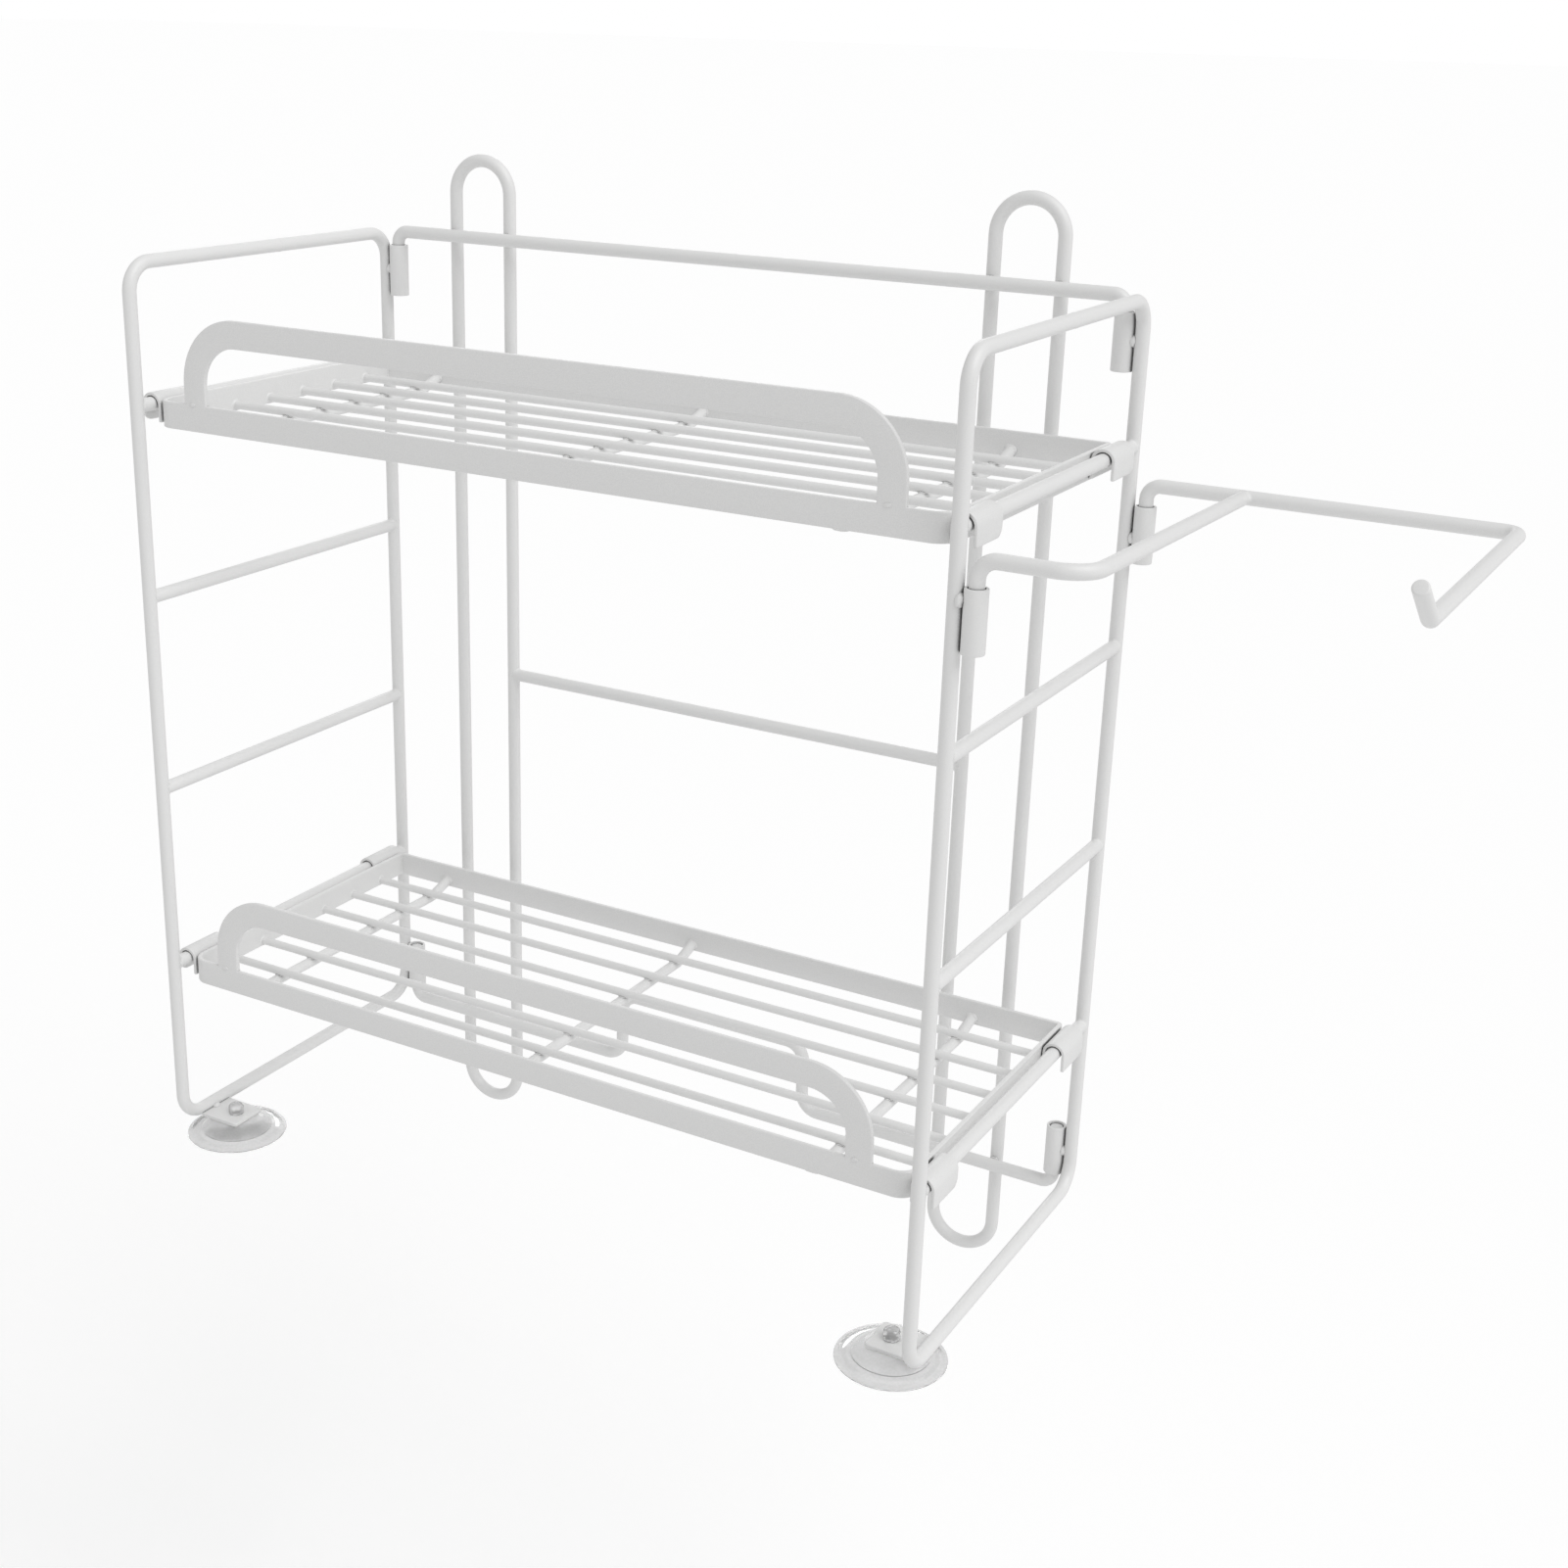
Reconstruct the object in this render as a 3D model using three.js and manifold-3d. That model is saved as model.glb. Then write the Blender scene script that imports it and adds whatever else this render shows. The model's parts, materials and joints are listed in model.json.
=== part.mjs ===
// Two-tier wall shelf in bent steel wire: two folding side frames hinged to a rear hanging frame,
// two lift-off shelves hooked over the rungs, a lift-out paper-roll holder and two suction feet.
// Millimetres, +X to the right, +Y towards the wall, +Z up. The origin lies on the wall, midway
// between the hanging loops, at the height where their crowns rest on the wall's hooks.

import * as THREE from "three";
import { mergeVertices } from "three/addons/utils/BufferGeometryUtils.js";
import Module from "manifold-3d";

// Clearances
const GAP = 0.3; // between pieces that touch or are welded together
const PIN_CLEARANCE = 0.35; // round a pin in its sleeve
const RUNG_CLEARANCE = 0.7; // beside a rung in its hook
const LEG_CLEARANCE = 0.6; // from a front leg to the hook behind it
const NECK_CLEARANCE = 0.4; // round a suction cup's neck in its plate

// Frame wire and the sleeves that its pins turn in
const WIRE_R = 2.8;
const SLEEVE_R = 4.2;
const SLEEVE_LENGTH = 22.5;
const PIN_DEPTH = 21.7;

// Side frames: closed wire rectangles with rungs between their legs
const FRAME_SPACING = 360;
const FRAME_DEPTH = 162;
const FRAME_HEIGHT = 378;
const FRAME_BEND_R = 11.5;
const LOWER_SHELF_RUNG = 76.2; // heights above the bottom bar
const LOWER_SPARE_RUNG = 158;
const UPPER_SPARE_RUNG = 242.4;
const UPPER_SHELF_RUNG = 321.8;
const TOP_HINGE_DROP = 5.3; // from the top bar to the upper sleeve's end
const BOTTOM_HINGE_RISE = 3.7; // from the bottom bar to the lower sleeve's end

// Rear frame: two pinned bars, a middle bar and two tall hanging loops
const BAR_STANDOFF = 6; // from a hinge sleeve's end to the bar that bends into it
const BAR_BEND_R = 5.3;
const HAT_WIDTH = 98; // raised middle stretch of the bottom bar
const HAT_RISE = 32.6;
const HAT_BEND_R = 8.5;
const LOOP_SPACING = 259.4;
const LOOP_WIDTH = 28.8;
const LOOP_RISE = 32.7; // above the top bar
const LOOP_DROP = 46.4; // below the bottom bar
const MIDDLE_BAR_HEIGHT = 177.7;

// Paper-roll holder on the right side frame
const FRONT_SLEEVE_TOP = 302.6;
const REAR_SLEEVE_TOP = 299.7;
const BRACE_STANDOFF = 9.7; // from the front sleeve's end to the brace
const BRACE_REACH = 45.2; // from the side frame to the brace's back run
const BRACE_BEND_R = 7;
const BRACE_CORNER_R = 12;
const ARM_STANDOFF = 8.3; // from the rear sleeve's end to the arm
const ARM_REACH = 145; // from the side frame to the spindle
const ARM_BEND_R = 5.5;
const SPINDLE_LENGTH = 137;
const TIP_LENGTH = 25;
const TIP_ANGLE = THREE.MathUtils.degToRad(36);
const TIP_BEND_R = 6;

// Shelves: a bent strip rim with a guard arch, a wire deck and sheet hooks
const STRIP_HEIGHT = 10.8;
const STRIP_THICKNESS = 2;
const RIM_RISE = 2.6; // from the rung's axis to the strip's top edge
const RIM_FRONT_SETBACK = 4.5; // from the front legs' axis
const RIM_REAR_SETBACK = 8; // from the rear legs' axis
const RIM_CORNER_R = 8; // at the front, where the strip is bent
const RIM_REAR_CORNER_R = 2.5; // at the rear, where it is folded
const GUARD_HEIGHT = 34.7;
const GUARD_BAND = 11;
const GUARD_INSET = 16.3; // from the rim's end to the guard's
const GUARD_CORNER_R = 27;
const DECK_WIRE_R = 1.75;
const DECK_WIRE_COUNT = 6;
const DECK_FRONT_MARGIN = 24; // from the rim's front face to the first deck wire
const DECK_REAR_MARGIN = 18.6; // from the rim's rear face to the last deck wire
const DECK_LIFT = 0.75; // of the deck wires above the strip's lower edge
const CROSS_WIRE_R = 2.25;
const CROSS_LEFT_INSET = 29.8; // from the rim's left end to the first cross wire
const CROSS_RIGHT_INSET = 40.8; // from the rim's right end to the last cross wire
const CROSS_END_RUN = 9; // level length of a cross wire's raised end
const CROSS_END_RISE = 3; // of that end above the strip's lower edge
const CROSS_BEND_R = 4;
const HOOK_SHEET = 1.4;
const HOOK_LENGTH = 21;
const HOOK_LEG_DROP = 7.9; // below the rung's axis, beside the rim
const HOOK_LIP_DROP = 8.5; // below the rung's axis, outside the rung
const HOOK_LIP_CORNER_R = 4;
const HOOK_REAR_INSET = 3.5; // from the rim's rear face to the rear hook's end

// Suction feet under the front corners
const PLATE_WIDTH = 19.3;
const PLATE_DEPTH = 18;
const PLATE_THICKNESS = 1.6;
const PLATE_CORNER_R = 5;
const PLATE_SETBACK = 17.5; // from the front legs' axis to the plate's middle
const PLATE_DROP = 1.6; // from the bottom bar's axis to the plate's mid-thickness
const PLATE_HOLE_INSET = 7.4; // from the plate's free edge to its hole
const CUP_RIM_R = 22;
const CUP_RIM_LAND = 1; // width of the flat ring that seals
const CUP_EDGE = 0.6; // thickness at the rim
const CUP_HEIGHT = 6.8; // from the rim to the shoulder under the plate
const CUP_DOME_R = 15.6;
const CUP_DOME_HEIGHT = 2.8; // of the dome's foot above the rim
const CUP_SHOULDER_R = 6;
const CUP_CAVITY_HEIGHT = 3;
const CUP_NECK_R = 2.4;
const CUP_HEAD_R = 3.4;
const CUP_HEAD_HEIGHT = 4.5;

// Facets and rounding
const TINY = 1e-6;
const WIRE_SIDES = 12;
const FINE_WIRE_SIDES = 10;
const BEND_STEP = Math.PI / 12;
const ARC_SEGMENTS = 6;
const SLEEVE_SEGMENTS = 20;
const CUP_SEGMENTS = 28;

// Places that follow from the sizes
const FRAME_X = FRAME_SPACING / 2;
const SLEEVE_OFFSET = WIRE_R + GAP + SLEEVE_R;
const HINGE_X = FRAME_X - SLEEVE_OFFSET;
const TOP_HINGE_END = FRAME_HEIGHT - TOP_HINGE_DROP;
const TOP_BAR_Z = TOP_HINGE_END + BAR_STANDOFF;
const BOTTOM_BAR_Z = BOTTOM_HINGE_RISE - BAR_STANDOFF;
const LOOP_Y = FRAME_DEPTH + 2 * WIRE_R + GAP;
const LOOP_TOP = TOP_BAR_Z + LOOP_RISE;
const WALL_Y = LOOP_Y + WIRE_R;
const HANG_Z = LOOP_TOP - WIRE_R;
const HOOK_INNER_R = WIRE_R + RUNG_CLEARANCE;
const RIM_HALF_WIDTH = FRAME_X - HOOK_INNER_R - HOOK_SHEET - GAP;
const RIM_DEPTH = FRAME_DEPTH - RIM_FRONT_SETBACK - RIM_REAR_SETBACK;
const RIM_MIDDLE_Y = RIM_FRONT_SETBACK + RIM_DEPTH / 2;
const STRIP_BOTTOM = RIM_RISE - STRIP_HEIGHT;

const POWDER_COAT = new THREE.MeshStandardMaterial({ color: 0xe6e6e4, roughness: 0.5, metalness: 0 });
const CLEAR_VINYL = new THREE.MeshStandardMaterial({
  color: 0xeef1f1,
  roughness: 0.15,
  metalness: 0,
  transparent: true,
  opacity: 0.45,
});

const wasm = await Module();
wasm.setup();

const at = (x, y, z) => new THREE.Vector3(x, y, z);

// Centre line of a bent wire: straight runs joined by round bends, with one station at each
// end of a run and several along each bend.
class BentWire extends THREE.Curve {
  constructor(corners, bendRadii, closed = false) {
    super();
    this.points = [];
    this.tangents = [];
    const last = corners.length - 1;
    corners.forEach((corner, i) => {
      const before = corners.at(i - 1);
      const after = corners[(i + 1) % corners.length];
      if (closed || (i > 0 && i < last)) {
        this.addBend(before, corner, after, bendRadii[closed ? i : i - 1]);
      } else {
        const along = i === 0 ? after.clone().sub(corner) : corner.clone().sub(before);
        this.addStation(corner, along.normalize());
      }
    });
    if (closed) this.addStation(this.points[0], this.tangents[0]);
  }

  get steps() {
    return this.points.length - 1;
  }

  addStation(point, tangent) {
    const previous = this.points.at(-1);
    if (previous && previous.distanceTo(point) < TINY) return;
    this.points.push(point);
    this.tangents.push(tangent);
  }

  addBend(before, corner, after, radius) {
    const incoming = corner.clone().sub(before).normalize();
    const outgoing = after.clone().sub(corner).normalize();
    const turn = incoming.angleTo(outgoing);
    const start = corner.clone().addScaledVector(incoming, -radius * Math.tan(turn / 2));
    const inward = outgoing.clone().addScaledVector(incoming, -Math.cos(turn)).normalize();
    const steps = Math.max(2, Math.round(turn / BEND_STEP));
    for (let i = 0; i <= steps; i++) {
      const angle = (turn * i) / steps;
      const point = start.clone().addScaledVector(incoming, radius * Math.sin(angle));
      point.addScaledVector(inward, radius * (1 - Math.cos(angle)));
      const tangent = incoming.clone().multiplyScalar(Math.cos(angle));
      tangent.addScaledVector(inward, Math.sin(angle));
      this.addStation(point, tangent);
    }
  }

  between(values, u) {
    const place = u * this.steps;
    const i = Math.min(Math.floor(place + TINY), this.steps - 1);
    return values[i].clone().lerp(values[i + 1], place - i);
  }

  getPointAt(u) {
    return this.between(this.points, u);
  }

  getTangentAt(u) {
    return this.between(this.tangents, u).normalize();
  }
}

function disc(radius, sides) {
  const corners = Array.from({ length: sides }, (_, i) => {
    const angle = (2 * Math.PI * i) / sides;
    return new THREE.Vector2(radius * Math.cos(angle), radius * Math.sin(angle));
  });
  return new THREE.Shape(corners);
}

// A wire with two cut ends.
function openWire(corners, bendRadii, radius = WIRE_R, sides = WIRE_SIDES) {
  const path = new BentWire(corners, bendRadii);
  return new THREE.ExtrudeGeometry(disc(radius, sides), { steps: path.steps, extrudePath: path });
}

// A wire whose ends are butt-welded into a loop.
function closedWire(corners, bendRadius) {
  const path = new BentWire(corners, corners.map(() => bendRadius), true);
  return new THREE.TubeGeometry(path, path.steps, WIRE_R, WIRE_SIDES, true);
}

// A profile of radius and height, turned about +Z.
function turned(profile, segments) {
  return new THREE.LatheGeometry(profile, segments).rotateX(Math.PI / 2);
}

// An outline in X and Y, raised along +Z.
function slab(shape, height) {
  return new THREE.ExtrudeGeometry(shape, {
    depth: height,
    bevelEnabled: false,
    curveSegments: ARC_SEGMENTS,
  });
}

// An outline in X and Z, extended along +Y from zero.
function upright(shape, depth) {
  return slab(shape, depth).rotateX(Math.PI / 2).translate(0, depth, 0);
}

function roundedRectangle(outline, width, depth, frontRadius, rearRadius) {
  const frontX = width / 2 - frontRadius;
  const frontY = depth / 2 - frontRadius;
  const rearX = width / 2 - rearRadius;
  const rearY = depth / 2 - rearRadius;
  outline.absarc(rearX, rearY, rearRadius, 0, Math.PI / 2);
  outline.absarc(-rearX, rearY, rearRadius, Math.PI / 2, Math.PI);
  outline.absarc(-frontX, -frontY, frontRadius, Math.PI, 1.5 * Math.PI);
  outline.absarc(frontX, -frontY, frontRadius, 1.5 * Math.PI, 2 * Math.PI);
  outline.closePath();
  return outline;
}

function asSolid(geometry) {
  const bare = geometry.clone();
  bare.deleteAttribute("normal");
  bare.deleteAttribute("uv");
  const merged = mergeVertices(bare);
  const triVerts = new Uint32Array(merged.index.array);
  const vertProperties = merged.attributes.position.array;
  return new wasm.Manifold(new wasm.Mesh({ numProp: 3, vertProperties, triVerts }));
}

function cutAway(whole, removed) {
  const mesh = asSolid(whole).subtract(asSolid(removed)).getMesh();
  const geometry = new THREE.BufferGeometry();
  geometry.setAttribute("position", new THREE.BufferAttribute(mesh.vertProperties, 3));
  geometry.setIndex(new THREE.BufferAttribute(mesh.triVerts, 1));
  geometry.computeVertexNormals();
  return geometry;
}

function addPiece(group, name, geometry, place = at(0, 0, 0), material = POWDER_COAT) {
  const mesh = new THREE.Mesh(geometry, material);
  mesh.name = name;
  mesh.position.copy(place);
  group.add(mesh);
  return mesh;
}

function sleeve() {
  const bore = WIRE_R + PIN_CLEARANCE;
  const profile = [
    new THREE.Vector2(bore, 0),
    new THREE.Vector2(SLEEVE_R, 0),
    new THREE.Vector2(SLEEVE_R, SLEEVE_LENGTH),
    new THREE.Vector2(bore, SLEEVE_LENGTH),
    new THREE.Vector2(bore, 0),
  ];
  return turned(profile, SLEEVE_SEGMENTS);
}

// Plate welded to the bottom bar, rounded on its free side, with the hole for a cup's neck.
// Its welded edge lies on x = 0 and it reaches towards -X.
function footPlate() {
  const half = PLATE_DEPTH / 2;
  const turnX = PLATE_CORNER_R - PLATE_WIDTH;
  const turnY = half - PLATE_CORNER_R;
  const outline = new THREE.Shape();
  outline.moveTo(0, -half);
  outline.lineTo(0, half);
  outline.absarc(turnX, turnY, PLATE_CORNER_R, Math.PI / 2, Math.PI);
  outline.absarc(turnX, -turnY, PLATE_CORNER_R, Math.PI, 1.5 * Math.PI);
  outline.closePath();
  const holeX = PLATE_HOLE_INSET - PLATE_WIDTH;
  const hole = disc(CUP_NECK_R + NECK_CLEARANCE, SLEEVE_SEGMENTS).getPoints();
  outline.holes.push(new THREE.Path(hole.map((p) => p.add(new THREE.Vector2(holeX, 0)))));
  return slab(outline, PLATE_THICKNESS).translate(0, 0, -PLATE_THICKNESS / 2);
}

// Suction cup with its neck and mushroom head, on an axis through z = 0 at the plate's mid-thickness.
function suctionCup() {
  const shoulder = -PLATE_THICKNESS / 2 - GAP;
  const rim = shoulder - CUP_HEIGHT;
  const headFoot = PLATE_THICKNESS / 2 + GAP;
  const headTop = headFoot + CUP_HEAD_HEIGHT;
  const cavity = rim + CUP_CAVITY_HEIGHT;
  const domeFoot = rim + CUP_DOME_HEIGHT;
  const profile = new THREE.Path();
  profile.moveTo(0, cavity);
  profile.quadraticCurveTo(CUP_DOME_R, cavity, CUP_RIM_R - CUP_RIM_LAND, rim);
  profile.lineTo(CUP_RIM_R, rim);
  profile.lineTo(CUP_RIM_R, rim + CUP_EDGE);
  profile.lineTo(CUP_DOME_R, domeFoot);
  profile.quadraticCurveTo(CUP_DOME_R, shoulder, CUP_SHOULDER_R, shoulder);
  profile.lineTo(CUP_NECK_R, shoulder);
  profile.lineTo(CUP_NECK_R, headFoot);
  profile.lineTo(CUP_HEAD_R, headFoot);
  profile.lineTo(CUP_HEAD_R, (headFoot + headTop) / 2);
  profile.quadraticCurveTo(CUP_HEAD_R, headTop, 0, headTop);
  return turned(profile.getPoints(ARC_SEGMENTS), CUP_SEGMENTS);
}

// One side frame, with its rungs, hinge sleeves and foot; side is -1 for left and +1 for right.
function sideFrame(name, side) {
  const group = new THREE.Group();
  group.position.x = side * FRAME_X;
  const corners = [
    at(0, 0, 0),
    at(0, FRAME_DEPTH, 0),
    at(0, FRAME_DEPTH, FRAME_HEIGHT),
    at(0, 0, FRAME_HEIGHT),
  ];
  addPiece(group, `${name}_side_frame`, closedWire(corners, FRAME_BEND_R));

  const rungStart = WIRE_R + GAP;
  const rungs = {
    lower_shelf_rung: LOWER_SHELF_RUNG,
    lower_spare_rung: LOWER_SPARE_RUNG,
    upper_spare_rung: UPPER_SPARE_RUNG,
    upper_shelf_rung: UPPER_SHELF_RUNG,
  };
  for (const [rung, height] of Object.entries(rungs)) {
    const ends = [at(0, rungStart, height), at(0, FRAME_DEPTH - rungStart, height)];
    addPiece(group, `${name}_${rung}`, openWire(ends, []));
  }

  const hingeX = -side * SLEEVE_OFFSET;
  const upperHinge = at(hingeX, FRAME_DEPTH, TOP_HINGE_END - SLEEVE_LENGTH);
  addPiece(group, `${name}_top_hinge_sleeve`, sleeve(), upperHinge);
  const lowerHinge = at(hingeX, FRAME_DEPTH, BOTTOM_HINGE_RISE);
  addPiece(group, `${name}_bottom_hinge_sleeve`, sleeve(), lowerHinge);

  const plateEdge = WIRE_R + GAP;
  const foot = new THREE.Group();
  foot.position.set(-side * plateEdge, PLATE_SETBACK, -PLATE_DROP);
  foot.rotation.z = side > 0 ? 0 : Math.PI;
  addPiece(foot, `${name}_foot_plate`, footPlate());
  const cupPlace = at(PLATE_HOLE_INSET - PLATE_WIDTH, 0, 0);
  addPiece(foot, `${name}_suction_cup`, suctionCup(), cupPlace, CLEAR_VINYL);
  group.add(foot);
  return group;
}

function rearFrame() {
  const group = new THREE.Group();
  const barBends = [BAR_BEND_R, BAR_BEND_R];

  const topBar = [
    at(-HINGE_X, FRAME_DEPTH, TOP_HINGE_END - PIN_DEPTH),
    at(-HINGE_X, FRAME_DEPTH, TOP_BAR_Z),
    at(HINGE_X, FRAME_DEPTH, TOP_BAR_Z),
    at(HINGE_X, FRAME_DEPTH, TOP_HINGE_END - PIN_DEPTH),
  ];
  addPiece(group, "rear_top_bar", openWire(topBar, barBends));

  const pinEnd = BOTTOM_HINGE_RISE + PIN_DEPTH;
  const hatZ = BOTTOM_BAR_Z + HAT_RISE;
  const bottomBar = [
    at(-HINGE_X, FRAME_DEPTH, pinEnd),
    at(-HINGE_X, FRAME_DEPTH, BOTTOM_BAR_Z),
    at(-HAT_WIDTH / 2, FRAME_DEPTH, BOTTOM_BAR_Z),
    at(-HAT_WIDTH / 2, FRAME_DEPTH, hatZ),
    at(HAT_WIDTH / 2, FRAME_DEPTH, hatZ),
    at(HAT_WIDTH / 2, FRAME_DEPTH, BOTTOM_BAR_Z),
    at(HINGE_X, FRAME_DEPTH, BOTTOM_BAR_Z),
    at(HINGE_X, FRAME_DEPTH, pinEnd),
  ];
  const hatBends = Array(4).fill(HAT_BEND_R);
  addPiece(group, "rear_bottom_bar", openWire(bottomBar, [BAR_BEND_R, ...hatBends, BAR_BEND_R]));

  const loopX = LOOP_SPACING / 2;
  const halfWidth = LOOP_WIDTH / 2;
  const loopBottom = BOTTOM_BAR_Z - LOOP_DROP;
  const loop = [
    at(-halfWidth, 0, LOOP_TOP),
    at(halfWidth, 0, LOOP_TOP),
    at(halfWidth, 0, loopBottom),
    at(-halfWidth, 0, loopBottom),
  ];
  addPiece(group, "left_wall_loop", closedWire(loop, halfWidth), at(-loopX, LOOP_Y, 0));
  addPiece(group, "right_wall_loop", closedWire(loop, halfWidth), at(loopX, LOOP_Y, 0));

  const barX = loopX - halfWidth - WIRE_R - GAP;
  const middleBar = [at(-barX, LOOP_Y, MIDDLE_BAR_HEIGHT), at(barX, LOOP_Y, MIDDLE_BAR_HEIGHT)];
  addPiece(group, "rear_middle_bar", openWire(middleBar, []));
  return group;
}

// Roll holder: an arm with its spindle and a brace, pinned in two sleeves on the frame's outer side.
function rollHolder() {
  const group = new THREE.Group();
  group.position.x = FRAME_X;
  const frontFoot = FRONT_SLEEVE_TOP - SLEEVE_LENGTH;
  addPiece(group, "roll_holder_front_sleeve", sleeve(), at(SLEEVE_OFFSET, 0, frontFoot));
  const rearFoot = REAR_SLEEVE_TOP - SLEEVE_LENGTH;
  addPiece(group, "roll_holder_rear_sleeve", sleeve(), at(SLEEVE_OFFSET, FRAME_DEPTH, rearFoot));

  const armZ = REAR_SLEEVE_TOP + ARM_STANDOFF;
  const tipY = FRAME_DEPTH - SPINDLE_LENGTH;
  const tipReach = TIP_LENGTH * Math.cos(TIP_ANGLE);
  const tipRise = TIP_LENGTH * Math.sin(TIP_ANGLE);
  const arm = [
    at(SLEEVE_OFFSET, FRAME_DEPTH, REAR_SLEEVE_TOP - PIN_DEPTH),
    at(SLEEVE_OFFSET, FRAME_DEPTH, armZ),
    at(ARM_REACH, FRAME_DEPTH, armZ),
    at(ARM_REACH, tipY, armZ),
    at(ARM_REACH, tipY - tipReach, armZ + tipRise),
  ];
  addPiece(group, "roll_arm", openWire(arm, [ARM_BEND_R, ARM_BEND_R, TIP_BEND_R]));

  const braceZ = FRONT_SLEEVE_TOP + BRACE_STANDOFF;
  const brace = [
    at(SLEEVE_OFFSET, 0, FRONT_SLEEVE_TOP - PIN_DEPTH),
    at(SLEEVE_OFFSET, 0, braceZ),
    at(BRACE_REACH, 0, braceZ),
    at(BRACE_REACH, FRAME_DEPTH - WIRE_R - GAP, armZ),
  ];
  addPiece(group, "roll_brace", openWire(brace, [BRACE_BEND_R, BRACE_CORNER_R]));
  return group;
}

// Bent strip round the shelf, from its lower edge up.
function shelfRim() {
  const width = 2 * RIM_HALF_WIDTH;
  const inset = 2 * STRIP_THICKNESS;
  const outline = roundedRectangle(new THREE.Shape(), width, RIM_DEPTH, RIM_CORNER_R, RIM_REAR_CORNER_R);
  const innerFront = RIM_CORNER_R - STRIP_THICKNESS;
  const innerRear = RIM_REAR_CORNER_R - STRIP_THICKNESS;
  const inside = roundedRectangle(new THREE.Path(), width - inset, RIM_DEPTH - inset, innerFront, innerRear);
  outline.holes.push(inside);
  return slab(outline, STRIP_HEIGHT);
}

// Flat arch that stands on the front strip, from its feet up.
function frontGuard() {
  const half = RIM_HALF_WIDTH - GUARD_INSET;
  const inner = half - GUARD_BAND;
  const turnX = half - GUARD_CORNER_R;
  const turnZ = GUARD_HEIGHT - GUARD_CORNER_R;
  const innerR = GUARD_CORNER_R - GUARD_BAND;
  const outline = new THREE.Shape();
  outline.moveTo(half, 0);
  outline.absarc(turnX, turnZ, GUARD_CORNER_R, 0, Math.PI / 2);
  outline.absarc(-turnX, turnZ, GUARD_CORNER_R, Math.PI / 2, Math.PI);
  outline.lineTo(-half, 0);
  outline.lineTo(-inner, 0);
  outline.absarc(-turnX, turnZ, innerR, Math.PI, Math.PI / 2, true);
  outline.absarc(turnX, turnZ, innerR, Math.PI / 2, 0, true);
  outline.lineTo(inner, 0);
  outline.closePath();
  return upright(outline, STRIP_THICKNESS);
}

// Sheet folded over a rung that lies on the Y axis, with its welded leg on the -X side. It reaches
// from y = 0 to its length, and the lower corner at the far end of its lip is rounded.
function shelfHook() {
  const outerR = HOOK_INNER_R + HOOK_SHEET;
  const crownZ = WIRE_R + GAP - HOOK_INNER_R;
  const fold = new THREE.Shape();
  fold.moveTo(outerR, -HOOK_LIP_DROP);
  fold.absarc(0, crownZ, outerR, 0, Math.PI);
  fold.lineTo(-outerR, -HOOK_LEG_DROP);
  fold.lineTo(-HOOK_INNER_R, -HOOK_LEG_DROP);
  fold.absarc(0, crownZ, HOOK_INNER_R, Math.PI, 0, true);
  fold.lineTo(HOOK_INNER_R, -HOOK_LIP_DROP);
  fold.closePath();

  const turnY = HOOK_LENGTH - HOOK_LIP_CORNER_R;
  const turnZ = HOOK_LIP_CORNER_R - HOOK_LIP_DROP;
  const corner = new THREE.Shape();
  corner.absarc(turnY, turnZ, HOOK_LIP_CORNER_R, -Math.PI / 2, 0);
  corner.lineTo(HOOK_LENGTH + HOOK_LIP_CORNER_R, turnZ);
  corner.lineTo(HOOK_LENGTH + HOOK_LIP_CORNER_R, -HOOK_LIP_DROP - HOOK_LIP_CORNER_R);
  corner.lineTo(turnY, -HOOK_LIP_DROP - HOOK_LIP_CORNER_R);
  corner.closePath();
  const acrossLip = new THREE.Matrix4().makeBasis(at(0, 1, 0), at(0, 0, 1), at(1, 0, 0));
  const offcut = slab(corner, 2 * HOOK_INNER_R).applyMatrix4(acrossLip);
  return cutAway(upright(fold, HOOK_LENGTH), offcut);
}

// The front and rear hook of a shelf's right end. Turned half round, they are its left end's.
function hookPair(frontName, rearName, turn) {
  const group = new THREE.Group();
  group.rotation.z = turn;
  const hook = shelfHook();
  const frontY = WIRE_R + LEG_CLEARANCE - RIM_MIDDLE_Y;
  const rearY = RIM_DEPTH / 2 - HOOK_REAR_INSET - HOOK_LENGTH;
  addPiece(group, frontName, hook, at(FRAME_X, frontY, 0));
  addPiece(group, rearName, hook, at(FRAME_X, rearY, 0));
  return group;
}

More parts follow.
